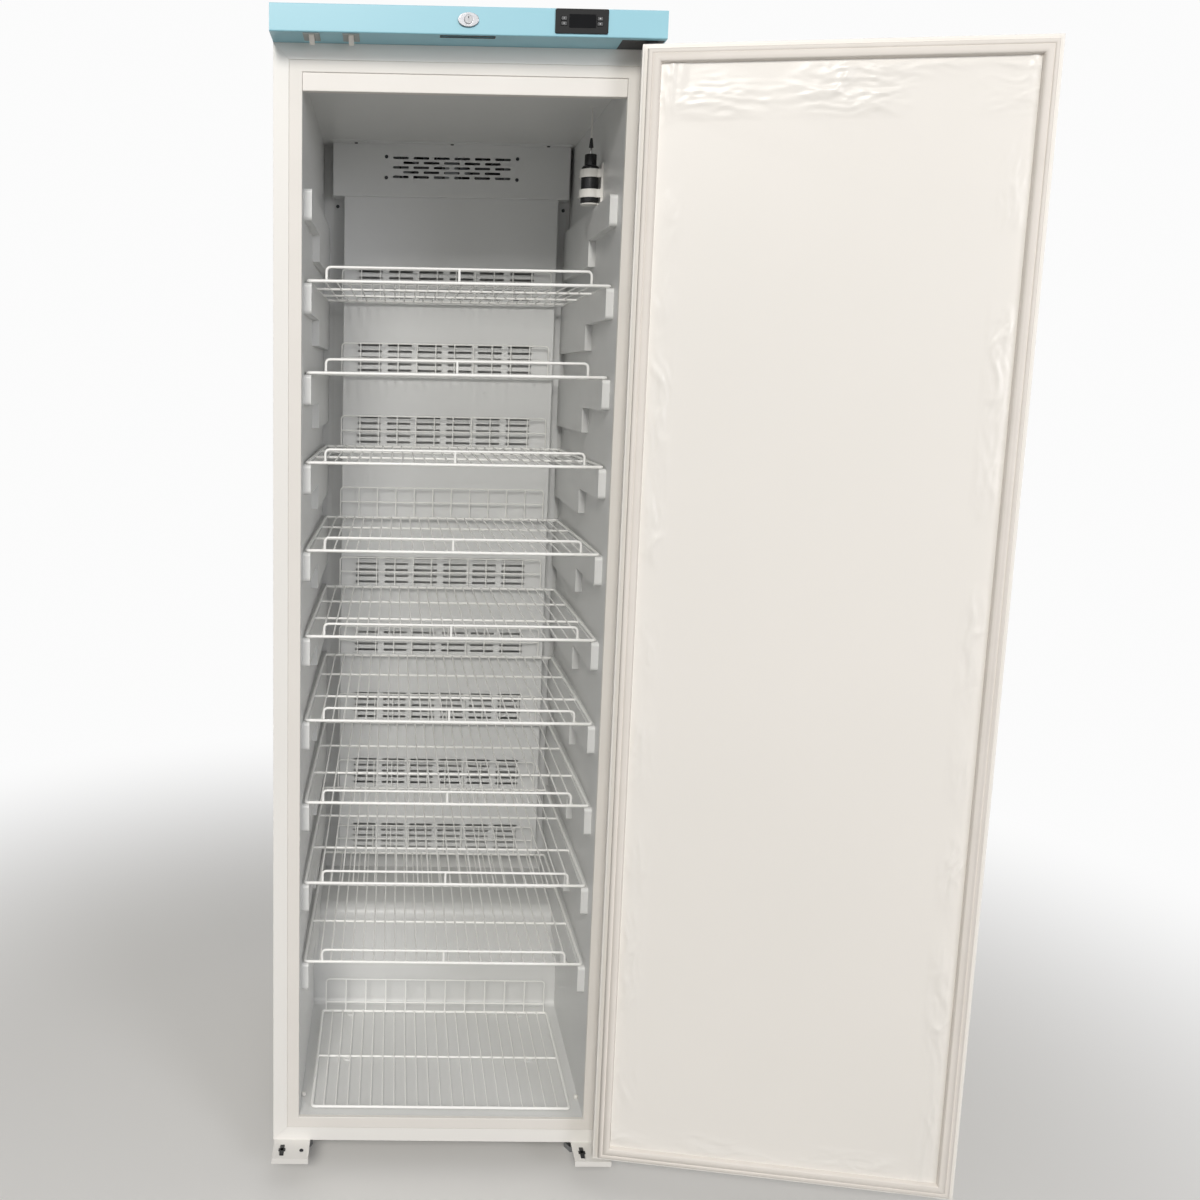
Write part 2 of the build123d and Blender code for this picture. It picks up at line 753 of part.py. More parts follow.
# Door switches: flanged bodies with an axle across their slot, and a wedge paddle on each axle
paddle_axle = (switch_plate_centre - paddle_length / 2 + paddle_hub_radius,
               casing_top + paddle_hub_radius / 2)
paddle_tip = (paddle_axle[0] + paddle_length, casing_top - paddle_drop)
paddle_slot = paddle_width + 2 * paddle_slot_gap
with BuildPart() as switch_housings:
    for switch_x in switch_offsets:
        block(around(switch_x, switch_plate_width), around(switch_plate_centre, switch_plate_depth),
              (casing_top - switch_plate_thickness, casing_top))
        block(around(switch_x, switch_body_width), around(switch_plate_centre, switch_body_depth),
              (casing_top, casing_top + switch_body_height))
        block(around(switch_x, paddle_slot),
              around(switch_plate_centre, switch_body_depth - 2 * switch_slot_wall),
              (casing_top - switch_plate_thickness, casing_top + switch_body_height - switch_roof),
              mode=Mode.SUBTRACT)
        with BuildSketch(Plane.YZ.offset(switch_x - paddle_slot / 2)):
            with Locations(paddle_axle):
                Circle(paddle_axle_radius)
        extrude(amount=paddle_slot)
switch_housings.part.label = "switch_housings"
export_step(switch_housings.part, "parts/switch_housings.step")

for switch_x, paddle_name in zip(switch_offsets, ("switch_paddle_left", "switch_paddle_right")):
    with BuildPart() as switch_paddle:
        with BuildSketch(Plane.YZ.offset(switch_x - paddle_width / 2)):
            with BuildLine():
                Polyline((paddle_axle[0], paddle_axle[1] + paddle_hub_radius),
                         (paddle_axle[0], paddle_axle[1] - paddle_hub_radius),
                         paddle_tip, (paddle_tip[0] + paddle_nose, paddle_tip[1] + paddle_nose_rise),
                         (paddle_tip[0] - paddle_back_slope, paddle_axle[1] + paddle_hub_radius), close=True)
            make_face()
            with Locations(paddle_axle):
                Circle(paddle_hub_radius)
                Circle(paddle_axle_radius + running_fit, mode=Mode.SUBTRACT)
        extrude(amount=paddle_width)
    switch_paddle.part.label = paddle_name
    export_step(switch_paddle.part, f"parts/{paddle_name}.step")

# Lamp bar below the front edge of the ceiling, with a diffuser on its slanted rear face
bar_bottom = cavity_ceiling - light_bar_height
bar_span = (-cavity_half + light_bar_end_gap, cavity_half - light_bar_end_gap)
with BuildPart() as lamp_housing:
    with BuildSketch(Plane.YZ.offset(bar_span[0])):
        with BuildLine():
            FilletPolyline((light_bar_front, cavity_ceiling), (light_bar_front, bar_bottom),
                           (light_bar_sole, bar_bottom), radius=light_bar_front)
            Polyline((light_bar_sole, bar_bottom), (light_bar_depth, cavity_ceiling - light_bar_heel),
                     (light_bar_depth, cavity_ceiling), (light_bar_front, cavity_ceiling))
        make_face()
    extrude(amount=bar_span[1] - bar_span[0])
slant = Vector(light_bar_depth - light_bar_sole, light_bar_height - light_bar_heel).normalized()
away = Vector(slant.Y, -slant.X) * diffuser_depth
diffuser_ends = [
    Vector(light_bar_sole, bar_bottom) + slant * diffuser_depth,
    Vector(light_bar_depth, cavity_ceiling - light_bar_heel) - slant * diffuser_depth,
]
with BuildPart() as lamp_diffuser:
    with BuildSketch(Plane.YZ.offset(bar_span[0] + light_bar_heel)):
        Polygon(diffuser_ends[0], diffuser_ends[0] + away, diffuser_ends[1] + away, diffuser_ends[1],
                align=None)
    extrude(amount=bar_span[1] - bar_span[0] - 2 * light_bar_heel)
light_bar = Compound(label="light_bar", children=[lamp_housing.part, lamp_diffuser.part])
export_step(light_bar, "parts/light_bar.step")

# Evaporator cover: folded sheet box on the ceiling with staggered rows of slots
cover_front = cavity_depth - cover_reach
grille_middle = cavity_ceiling - grille_drop
duct_span = (-cavity_half + duct_left_gap, cavity_half - duct_right_gap)
with BuildPart() as evaporator_cover:
    block(cover_span, (cover_front, cavity_depth), (cover_bottom, cavity_ceiling))
    block((cover_span[0] + cover_sheet, cover_span[1] - cover_sheet),
          (cover_front + cover_sheet, cavity_depth), (cover_bottom + cover_sheet, cavity_ceiling),
          mode=Mode.SUBTRACT)
    block(cover_span, (cover_front - cover_lip, cover_front), (cavity_ceiling - cover_sheet, cavity_ceiling))
    block((duct_span[0] + cover_sheet, duct_span[1] - cover_sheet), (duct_front + cover_sheet, cavity_depth),
          (cover_bottom, cover_bottom + cover_sheet), mode=Mode.SUBTRACT)
    with BuildSketch(Plane.XZ.offset(-cover_front)):
        for row in range(grille_rows):
            staggered = row % 2
            row_height = grille_middle + (row - (grille_rows - 1) / 2) * grille_row_pitch
            with Locations((air_centre, row_height)):
                with GridLocations(grille_pitch, 1, grille_columns - staggered, 1):
                    Rectangle(grille_slot_length, grille_slot_height)
    extrude(amount=-cover_sheet, mode=Mode.SUBTRACT)
evaporator_cover.part.label = "evaporator_cover"
export_step(evaporator_cover.part, "parts/evaporator_cover.step")


def fan_plane(centre_x, front, centre_z):
    """Plane across a fan whose axis runs to the back of the cabinet."""
    return Plane(origin=(centre_x, front, centre_z), x_dir=(1, 0, 0), z_dir=(0, 1, 0))


def make_fan_frame(plane, side, depth, bore, hub, shaft):
    """Square frame with a round throat, a motor on three arms behind and its shaft."""
    motor_depth = motor_share * depth
    with BuildPart() as fan_frame:
        with BuildSketch(plane):
            Rectangle(side, side)
            Circle(bore, mode=Mode.SUBTRACT)
        extrude(amount=depth)
        with BuildSketch(plane.offset(depth - motor_depth)):
            Circle(hub)
            with PolarLocations((hub + bore) / 2, 3, start_angle=90):
                Rectangle(bore - hub + fan_strut_overlap, hub / 3)
        extrude(amount=motor_depth)
        with BuildSketch(plane.offset(depth - motor_depth)):
            Circle(shaft)
        extrude(amount=-(depth - 2 * motor_depth))
    return fan_frame


def make_fan_rotor(plane, depth, bore, hub, shaft, blades):
    """Hub with pitched blades, running on the motor shaft."""
    rotor_depth = depth * (1 - motor_share) - 2 * fan_axial_gap
    blade_reach = bore - fan_tip_gap - hub + blade_root
    with BuildPart(plane.offset(fan_axial_gap + rotor_depth / 2)) as fan_rotor:
        Cylinder(hub, rotor_depth)
        with PolarLocations(hub - blade_root + blade_reach / 2, blades):
            Box(blade_reach, rotor_depth, blade_thickness, rotation=(blade_pitch, 0, 0))
        Cylinder(shaft + running_fit, 2 * depth, mode=Mode.SUBTRACT)
    return fan_rotor


# Evaporator fans behind the grille
evaporator_fan_frames = Compound(label="evaporator_fan_frames")
for side, side_name in ((-1, "left"), (1, "right")):
    throat = fan_plane(air_centre + side * fan_spacing / 2, cover_front + cover_sheet,
                       grille_middle - recess_margin)
    fan_frame = make_fan_frame(throat, fan_side, fan_depth, fan_bore_radius, fan_hub_radius, fan_shaft_radius)
    evaporator_fan_frames.children += (fan_frame.part,)
    fan_rotor = make_fan_rotor(throat, fan_depth, fan_bore_radius, fan_hub_radius, fan_shaft_radius, fan_blades)
    fan_rotor.part.label = f"fan_rotor_{side_name}"
    export_step(fan_rotor.part, f"parts/fan_rotor_{side_name}.step")
export_step(evaporator_fan_frames, "parts/evaporator_fan_frames.step")

# Evaporator coil: finned block in the recess, standing on the recess floor
with BuildPart() as evaporator_coil:
    block((recess_span[0] + coil_side_gap, recess_span[1] - coil_side_gap),
          (recess_back - coil_depth, recess_back), (recess_height[0], recess_height[1] - coil_top_gap))
evaporator_coil.part.label = "evaporator_coil"
export_step(evaporator_coil.part, "parts/evaporator_coil.step")

# Air duct: hat-section sheet on the back wall with slots at each shelf
duct_bottom = hump_top + duct_clearance_above_hump
duct_slot_span = (duct_span[0] + duct_slot_left_margin, duct_span[1] - duct_slot_right_margin)
duct_slot_middle = (duct_slot_span[0] + duct_slot_span[1]) / 2
with BuildPart() as duct_panel:
    with BuildSketch(Plane.XY.offset(duct_bottom)):
        with BuildLine():
            Polyline((duct_span[0] - duct_flange, cavity_depth), (duct_span[0], cavity_depth),
                     (duct_span[0], duct_front), (duct_span[1], duct_front),
                     (duct_span[1], cavity_depth), (duct_span[1] + duct_flange, cavity_depth))
            offset(amount=cover_sheet, side=Side.RIGHT)
        make_face()
    extrude(amount=cover_bottom - duct_bottom)
    with BuildSketch(Plane.XZ.offset(-duct_front + duct_reach / 2)):
        for index in range(shelf_count):
            if index != duct_blank_level:
                with Locations((duct_slot_middle, shelf_level(index) + duct_slot_rise)):
                    with GridLocations(1, duct_row_pitch, 1, duct_rows):
                        Rectangle(duct_slot_span[1] - duct_slot_span[0], duct_slot_height)
    extrude(amount=-duct_reach, mode=Mode.SUBTRACT)
duct_panel.part.label = "duct_panel"
export_step(duct_panel.part, "parts/duct_panel.step")

# Sample bottle in its wall holder, and the probe in the bottle with its lead to the ceiling
bottle_x = cavity_half - bottle_wall_offset
bottle_shoulder = cavity_ceiling - bottle_top_drop
bottle_foot = bottle_shoulder - bottle_body_height
bottle_top = bottle_shoulder + bottle_cap_height
with BuildPart() as sample_bottle:
    with BuildSketch(Plane.XY.offset(bottle_foot)):
        with Locations((bottle_x, bottle_setback)):
            Circle(bottle_radius)
    extrude(amount=bottle_body_height)
    with BuildSketch(Plane.XY.offset(bottle_shoulder)):
        with Locations((bottle_x, bottle_setback)):
            Circle(bottle_cap_radius)
    extrude(amount=bottle_cap_height)
sample_bottle.part.label = "sample_bottle"
export_step(sample_bottle.part, "parts/sample_bottle.step")

with BuildPart() as bottle_holder:
    block((cavity_half - holder_plate, cavity_half), around(bottle_setback, holder_plate_width),
          (bottle_foot - holder_lip - seat_gap, bottle_foot + holder_plate_height))
    for band_height in holder_band_heights:
        with BuildSketch(Plane.XY.offset(bottle_foot + band_height)):
            with Locations((bottle_x, bottle_setback)):
                Circle(bottle_radius + seat_gap + holder_band)
                Rectangle(bottle_wall_offset - holder_plate, 2 * bottle_radius,
                          align=(Align.MIN, Align.CENTER))
                Circle(bottle_radius + seat_gap, mode=Mode.SUBTRACT)
        extrude(amount=holder_band_tall)
    with BuildSketch(Plane.XY.offset(bottle_foot - seat_gap)):
        with Locations((bottle_x, bottle_setback)):
            Circle(bottle_radius)
            Rectangle(bottle_wall_offset, bottle_radius, align=(Align.MIN, Align.CENTER))
    extrude(amount=-holder_lip)
    block((cavity_half, cavity_half + bottle_radius), around(bottle_setback, 3 * bottle_radius),
          (bottle_foot - 2 * holder_lip, bottle_top), mode=Mode.SUBTRACT)
bottle_holder.part.label = "bottle_holder"
export_step(bottle_holder.part, "parts/bottle_holder.step")

with BuildPart() as temperature_probe:
    with BuildSketch(Plane.XY.offset(bottle_top)):
        with Locations((bottle_x, bottle_setback)):
            Circle(probe_radius)
    extrude(amount=probe_stem)
    with BuildSketch(Plane.XY.offset(bottle_top + probe_stem)):
        with Locations((bottle_x, bottle_setback)):
            Circle(probe_lead_radius)
    extrude(amount=cavity_ceiling - bottle_top - probe_stem)
temperature_probe.part.label = "temperature_probe"
export_step(temperature_probe.part, "parts/temperature_probe.step")


# Wire shelf, welded from an outer rail, two cross bars, long wires, a front loop and a rear fence
rail_half = shelf_rail / 2
shelf_half_front = cavity_half - shelf_side_gap
shelf_half_rear = shelf_half_front - shelf_taper
shelf_rear = shelf_setback + shelf_depth
wire_pitch = 2 * (shelf_half_rear - shelf_rail) / (shelf_wire_count + 1)
shelf_wire_length = shelf_depth - 2 * shelf_rail
front_upstand_width = 2 * (shelf_half_front - front_upstand_inset)
rear_upstand_width = 2 * (shelf_half_rear - rear_upstand_inset)


def fence(width, height, place, columns, radius, rod):
    """Upright rod loop with rounded upper corners and rods standing in it, facing the door."""
    plane = Plane(origin=place, x_dir=(1, 0, 0), z_dir=(0, -1, 0))
    with BuildSketch(mode=Mode.PRIVATE) as window:
        Rectangle(width - 2 * rod, height - rod, align=(Align.CENTER, Align.MIN))
        fillet(window.vertices().group_by(Axis.Y)[-1], radius - rod)
    with BuildSketch(plane) as loop:
        Rectangle(width, height, align=(Align.CENTER, Align.MIN))
        fillet(loop.vertices().group_by(Axis.Y)[-1], radius)
        add(window.sketch, mode=Mode.SUBTRACT)
        with GridLocations((width - rod) / columns, 1, columns - 1, 1):
            Rectangle(rod, height, align=(Align.CENTER, Align.MIN))
    extrude(loop.sketch, amount=rod / 2, both=True)


with BuildPart() as outer_rail:
    with BuildSketch(Plane.XY.offset(-rail_half)) as rail:
        Polygon((-shelf_half_front, shelf_setback), (shelf_half_front, shelf_setback),
                (shelf_half_rear, shelf_rear), (-shelf_half_rear, shelf_rear), align=None)
        fillet(rail.vertices(), shelf_corner_radius)
        Polygon((-shelf_half_front + shelf_rail, shelf_setback + shelf_rail),
                (shelf_half_front - shelf_rail, shelf_setback + shelf_rail),
                (shelf_half_rear - shelf_rail, shelf_rear - shelf_rail),
                (-shelf_half_rear + shelf_rail, shelf_rear - shelf_rail), align=None, mode=Mode.SUBTRACT)
    extrude(amount=shelf_rail)

with BuildPart() as long_wires:
    with BuildSketch(Plane.XY):
        with Locations((0, shelf_setback + shelf_depth / 2)):
            with GridLocations(wire_pitch, 1, shelf_wire_count, 1):
                Rectangle(shelf_wire, shelf_wire_length)
    extrude(amount=shelf_wire)

with BuildPart() as cross_bars:
    for third in (1, 2):
        bar_y = shelf_depth * third / 3
        rail_inset = shelf_rail + shelf_taper * (bar_y - rail_half) / shelf_wire_length
        bar_half = shelf_half_front - rail_inset
        block((-bar_half, bar_half), around(shelf_setback + bar_y, shelf_rail), (-rail_half, 0))

with BuildPart() as front_loop:
    fence(front_upstand_width, front_upstand_height, (0, shelf_setback + rail_half, rail_half),
          2, upstand_corner_radius, upstand_wire)

with BuildPart() as rear_fence:
    fence(rear_upstand_width, rear_upstand_height, (0, shelf_rear - rail_half, rail_half),
          rear_upstand_cells, upstand_corner_radius, shelf_wire)

for number in range(1, shelf_count + 1):
    place = Pos(0, 0, shelf_level(number - 1))
    welded = (outer_rail, cross_bars, long_wires, front_loop, rear_fence)
    shelf = Compound(label=f"shelf_{number}", children=[place * piece.part for piece in welded])
    export_step(shelf, f"parts/shelf_{number}.step")

# Floor grid: flat wire mat above the cavity floor with a fence at its back edge
grid_level = cavity_floor + floor_grid_gap + rail_half
grid_pitch = (floor_grid_width - shelf_rail) / (floor_grid_wire_count + 1)
grid_rear = floor_grid_front + floor_grid_depth
with BuildPart() as grid_rail:
    with BuildSketch(Plane.XY.offset(grid_level - rail_half)) as rail:
        with Locations((0, floor_grid_front + floor_grid_depth / 2)):
            Rectangle(floor_grid_width, floor_grid_depth)
            fillet(rail.vertices(), shelf_corner_radius)
            Rectangle(floor_grid_width - 2 * shelf_rail, floor_grid_depth - 2 * shelf_rail, mode=Mode.SUBTRACT)
    extrude(amount=shelf_rail)
with BuildPart() as grid_wires:
    with BuildSketch(Plane.XY.offset(grid_level)):
        with Locations((0, grid_bar_y)):
            with GridLocations(grid_pitch, 1, floor_grid_wire_count, 1):
                Rectangle(shelf_wire, floor_grid_depth - 2 * shelf_rail)
    extrude(amount=shelf_wire)
with BuildPart() as grid_bar:
    block(around(0, floor_grid_width - 2 * shelf_rail), around(grid_bar_y, shelf_rail),
          (grid_level - rail_half, grid_level))
with BuildPart() as grid_fence:
    fence(floor_grid_width - 2 * shelf_corner_radius, floor_upstand_foot + floor_upstand_height,
          (0, grid_rear - rail_half, grid_level + rail_half),
          rear_upstand_cells, upstand_corner_radius, shelf_wire)
floor_grid = Compound(label="floor_grid",
                      children=[grid_rail.part, grid_wires.part, grid_bar.part, grid_fence.part])
export_step(floor_grid, "parts/floor_grid.step")

# Compressor: domed shell on three feet
compressor_offset = -half_width / 2
compressor_y = (bay_front + cabinet_depth) / 2
compressor_bottom = bay_floor + compressor_foot_height
compressor_top = compressor_bottom + compressor_height
crown_radius = compressor_radius - compressor_dome
with BuildPart() as compressor:
    with BuildSketch(Plane(origin=(compressor_offset, compressor_y, 0), x_dir=(1, 0, 0), z_dir=(0, -1, 0))):
        Polygon((0, compressor_bottom), (compressor_radius, compressor_bottom),
                (compressor_radius, compressor_top - compressor_dome),
                (compressor_radius - compressor_dome / 4, compressor_top - compressor_dome / 3),
                (crown_radius, compressor_top), (0, compressor_top), align=None)
    revolve(axis=Axis((compressor_offset, compressor_y, 0), (0, 0, 1)))
    with BuildSketch(Plane.XY.offset(bay_floor)):
        with Locations((compressor_offset, compressor_y)):
            with PolarLocations(compressor_foot_spread, 3, start_angle=90):
                RegularPolygon(compressor_foot_radius, 8)
    extrude(amount=compressor_foot_height)
compressor.part.label = "compressor"
export_step(compressor.part, "parts/compressor.step")

# Condenser: finned block on two feet, with its fan behind it
condenser_fan_side = condenser_height - 2 * condenser_fan_margin
condenser_fan_bore_radius = condenser_fan_side / 2 - condenser_fan_wall
condenser_y = bay_front + condenser_gap
condenser_base = bay_floor + condenser_foot
with BuildPart() as condenser:
    block(around(condenser_offset, condenser_width), (condenser_y, condenser_y + condenser_depth),
          (condenser_base, condenser_base + condenser_height))
    for foot_side in (-1, 1):
        block(around(condenser_offset + foot_side * (condenser_width - condenser_foot) / 2, condenser_foot),
              (condenser_y, condenser_y + condenser_depth), (bay_floor, condenser_base))
condenser.part.label = "condenser"
export_step(condenser.part, "parts/condenser.step")

throat = fan_plane(condenser_offset, condenser_y + condenser_depth, condenser_middle)
condenser_fan_frame = make_fan_frame(throat, condenser_fan_side, condenser_fan_depth, condenser_fan_bore_radius,
                                     condenser_fan_hub_radius, condenser_fan_shaft_radius)
condenser_fan_frame.part.label = "condenser_fan_frame"
export_step(condenser_fan_frame.part, "parts/condenser_fan_frame.step")
condenser_fan_rotor = make_fan_rotor(throat, condenser_fan_depth, condenser_fan_bore_radius,
                                     condenser_fan_hub_radius, condenser_fan_shaft_radius,
                                     condenser_fan_blades)
condenser_fan_rotor.part.label = "condenser_fan_rotor"
export_step(condenser_fan_rotor.part, "parts/condenser_fan_rotor.step")

# Refrigerant pipes: discharge pipe to the condenser and suction pipe to the bay roof
pipe_level = bay_floor + pipe_rise
condenser_side = condenser_offset - condenser_width / 2
compressor_side = compressor_offset + compressor_radius
tray_span = (compressor_side + tray_compressor_gap, condenser_side - tray_condenser_gap)
pipe_turn_x = (tray_span[0] + tray_span[1]) / 2 + pipe_bend_radius
pipe_front = condenser_y + condenser_depth / 2
with BuildPart() as refrigerant_pipes:
    with BuildLine() as discharge_route:
        FilletPolyline((compressor_side, compressor_y, pipe_level),
                       (pipe_turn_x, compressor_y, pipe_level), (pipe_turn_x, pipe_front, pipe_level),
                       (condenser_side, pipe_front, pipe_level), radius=pipe_bend_radius)
    with BuildSketch(Plane(origin=discharge_route.line @ 0, z_dir=discharge_route.line % 0)):
        Circle(pipe_radius)
    sweep(path=discharge_route.line)
    with BuildSketch(Plane.XY.offset(compressor_top)):
        with Locations((compressor_offset, compressor_y)):
            Circle(pipe_radius)
    extrude(amount=bay_roof - compressor_top)
refrigerant_pipes.part.label = "refrigerant_pipes"
export_step(refrigerant_pipes.part, "parts/refrigerant_pipes.step")

# Drain tray between compressor and condenser
with BuildPart() as drain_tray:
    tray_front = cabinet_depth - tray_rear_gap - tray_depth
    block(tray_span, (tray_front, tray_front + tray_depth), (bay_floor, bay_floor + tray_height))
    block((tray_span[0] + tray_wall, tray_span[1] - tray_wall),
          (tray_front + tray_wall, tray_front + tray_depth - tray_wall),
          (bay_floor + tray_wall, bay_floor + tray_height), mode=Mode.SUBTRACT)
drain_tray.part.label = "drain_tray"
export_step(drain_tray.part, "parts/drain_tray.step")

# Door pieces are drawn shut and turned about the hinge line to where they stand at rest
hinge_line = Axis((hinge_x, hinge_y, 0), (0, 0, 1))
door_outline = (-door_half, door_bottom, door_half, door_top)
door_inside = header_front + door_thickness
panel_outline = shrink(door_outline, door_panel_margin)
panel_front = door_inside - door_panel
bush_seats = ((door_bottom, 1), (door_top, -1))


def outline_span(outline):
    """The X and Z limits of an upright rectangle."""
    return (outline[0], outline[2]), (outline[1], outline[3])


def open_door(shut):
    """A door piece turned from its shut place to its place at rest."""
    with BuildPart() as opened:
        add(shut.part.rotate(hinge_line, door_rest_angle))
    return opened


# Door skin: folded steel tray, its edges returned under the inner panel
with BuildPart() as shut_skin:
    outer_x, outer_z = outline_span(door_outline)
    block(outer_x, (header_front, panel_front), outer_z)
    fillet(shut_skin.edges().group_by(Axis.Y)[0], door_edge_radius)
    inner_x, inner_z = outline_span(shrink(door_outline, door_sheet))
    block(inner_x, (header_front + door_sheet, panel_front - door_sheet), inner_z, mode=Mode.SUBTRACT)
    return_x, return_z = outline_span(shrink(door_outline, door_return))
    block(return_x, (panel_front - door_sheet, panel_front), return_z, mode=Mode.SUBTRACT)
    for seat, inward in bush_seats:
        with BuildSketch(Plane.XY.offset(seat)):
            with Locations((hinge_x, hinge_y)):
                Circle(hinge_bush_radius)
        extrude(amount=inward * door_sheet, mode=Mode.SUBTRACT)
    block(around(lock_offset, cam_pocket_width),
          (cam_front - cam_slot_gap, cam_front + cam_depth + cam_slot_gap),
          (door_top - door_sheet, door_top), mode=Mode.SUBTRACT)
door_skin = open_door(shut_skin)
door_skin.part.label = "door_skin"
export_step(door_skin.part, "parts/door_skin.step")

# Door foam with the seats of the bushes and the pocket that takes the cam
with BuildPart() as shut_foam:
    foam_x, foam_z = outline_span(shrink(door_outline, door_sheet))
    block(foam_x, (header_front + door_sheet, panel_front - door_sheet), foam_z)
    for seat, inward in bush_seats:
        with BuildSketch(Plane.XY.offset(seat)):
            with Locations((hinge_x, hinge_y)):
                Circle(hinge_bush_radius)
        extrude(amount=inward * (hinge_bush_length + seat_gap), mode=Mode.SUBTRACT)
    block(around(lock_offset, cam_pocket_width),
          (cam_front - cam_slot_gap, cam_front + cam_depth + cam_slot_gap),
          (door_top - cam_pocket_depth, door_top), mode=Mode.SUBTRACT)
door_foam = open_door(shut_foam)
door_foam.part.label = "door_foam"
export_step(door_foam.part, "parts/door_foam.step")

with BuildPart() as shut_panel:
    panel_x, panel_z = outline_span(panel_outline)
    block(panel_x, (panel_front, door_inside), panel_z)
door_inner_panel = open_door(shut_panel)
door_inner_panel.part.label = "door_inner_panel"
export_step(door_inner_panel.part, "parts/door_inner_panel.step")

# Gasket: four mitred lengths on the inner panel
gasket_outer = shrink(panel_outline, gasket_margin)
gasket_inner = shrink(gasket_outer, gasket_width)
with BuildPart() as shut_gasket:
    with BuildSketch(Plane.XZ.offset(-door_inside)):
        for side in range(4):
            Polygon(*frame_side(gasket_outer, gasket_inner, side, mitre_seam), align=None)
    extrude(amount=door_inside + gasket_compressed_gap)
door_gasket = open_door(shut_gasket)
door_gasket.part.label = "door_gasket"
export_step(door_gasket.part, "parts/door_gasket.step")

# Handle: flat bar bent to a bow, on two foot plates near the free edge
handle_x = -door_half + handle_edge_offset
handle_low = handle_height - handle_length / 2
handle_high = handle_low + handle_length
handle_front = header_front - handle_reach
with BuildPart() as shut_handle:
    with BuildSketch(Plane.YZ.offset(handle_x - handle_width / 2)):
        with BuildLine():
            FilletPolyline((header_front, handle_low), (handle_front, handle_low),
                           (handle_front, handle_high), (header_front, handle_high),
                           radius=handle_bend_radius)
            offset(amount=handle_bar, side=Side.RIGHT)
        make_face()
    extrude(amount=handle_width)
    with BuildSketch(header_plane):
        with Locations((handle_x, handle_low + handle_bar / 2), (handle_x, handle_high - handle_bar / 2)):
            RectangleRounded(handle_foot, handle_foot, handle_foot_depth)
    extrude(amount=handle_foot_depth)
door_handle = open_door(shut_handle)
door_handle.part.label = "door_handle"
export_step(door_handle.part, "parts/door_handle.step")

# Hinge bushes pressed into the door's lower and upper edges
with BuildPart() as hinge_bushes:
    for seat, inward in bush_seats:
        with BuildSketch(Plane.XY.offset(seat)):
            with Locations((hinge_x, hinge_y)):
                Circle(hinge_bush_radius)
                Circle(hinge_pin_radius + running_fit, mode=Mode.SUBTRACT)
        extrude(amount=inward * hinge_bush_length)
hinge_bushes.part.label = "hinge_bushes"
export_step(hinge_bushes.part, "parts/hinge_bushes.step")
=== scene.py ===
import json
import math

import bmesh
import bpy
from mathutils import Matrix, Vector, noise

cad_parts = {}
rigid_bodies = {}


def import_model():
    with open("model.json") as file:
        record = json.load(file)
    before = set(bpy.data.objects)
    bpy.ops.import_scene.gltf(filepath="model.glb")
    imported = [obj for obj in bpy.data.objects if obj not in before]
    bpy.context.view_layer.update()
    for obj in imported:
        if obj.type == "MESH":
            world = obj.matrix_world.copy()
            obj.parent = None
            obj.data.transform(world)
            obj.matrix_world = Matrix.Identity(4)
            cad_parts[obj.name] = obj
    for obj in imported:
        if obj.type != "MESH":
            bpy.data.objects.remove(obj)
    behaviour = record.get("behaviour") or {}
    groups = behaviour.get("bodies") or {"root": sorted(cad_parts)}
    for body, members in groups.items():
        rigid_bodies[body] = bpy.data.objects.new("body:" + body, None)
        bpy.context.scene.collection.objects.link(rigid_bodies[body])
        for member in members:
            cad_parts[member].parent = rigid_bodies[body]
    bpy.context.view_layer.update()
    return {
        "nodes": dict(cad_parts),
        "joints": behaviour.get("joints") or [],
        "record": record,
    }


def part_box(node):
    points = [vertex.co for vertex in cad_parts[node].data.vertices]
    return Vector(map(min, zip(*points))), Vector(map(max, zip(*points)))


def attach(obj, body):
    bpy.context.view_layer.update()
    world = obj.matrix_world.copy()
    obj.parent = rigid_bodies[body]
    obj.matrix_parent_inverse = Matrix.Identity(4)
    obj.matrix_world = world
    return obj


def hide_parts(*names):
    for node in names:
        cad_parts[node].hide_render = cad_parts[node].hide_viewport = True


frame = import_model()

nodes = frame["nodes"]
joints = {joint["name"]: joint for joint in frame["joints"]}
mm = 0.001

# Camera: stands at chest height, a little left of the cabinet's middle
cameraLook = {
    "place": (-0.1027, -1.8536, 1.4135),
    "heading": 0.667,  # degrees, to the right
    "dip": 8.443,  # degrees, downwards
    "roll": 0.983,
    "lens": 33.975,
    "shift": (0.162, -0.0448),
}


def makeCamera(look):
    data = bpy.data.cameras.new("camera")
    camera = bpy.data.objects.new("camera", data)
    bpy.context.scene.collection.objects.link(camera)
    heading, dip, roll = (math.radians(look[key]) for key in ("heading", "dip", "roll"))
    forward = Vector((math.sin(heading) * math.cos(dip), math.cos(heading) * math.cos(dip), -math.sin(dip)))
    level = Vector((math.cos(heading), -math.sin(heading), 0))
    upright = level.cross(forward)
    across = level * math.cos(roll) + upright * math.sin(roll)
    upward = upright * math.cos(roll) - level * math.sin(roll)
    turn = Matrix((across, upward, -forward)).transposed().to_4x4()
    camera.matrix_world = Matrix.Translation(look["place"]) @ turn
    data.lens = look["lens"]
    data.sensor_width = 36
    data.shift_x, data.shift_y = look["shift"]
    data.clip_start = 0.05
    bpy.context.scene.camera = camera


makeCamera(cameraLook)
bpy.context.scene.view_settings.view_transform = "Standard"
print("camera ready")


# Materials

def linearColour(code):
    shares = [int(code[start:start + 2], 16) / 255 for start in (1, 3, 5)]
    return tuple(s / 12.92 if s <= 0.04045 else ((s + 0.055) / 1.055) ** 2.4 for s in shares) + (1.0,)


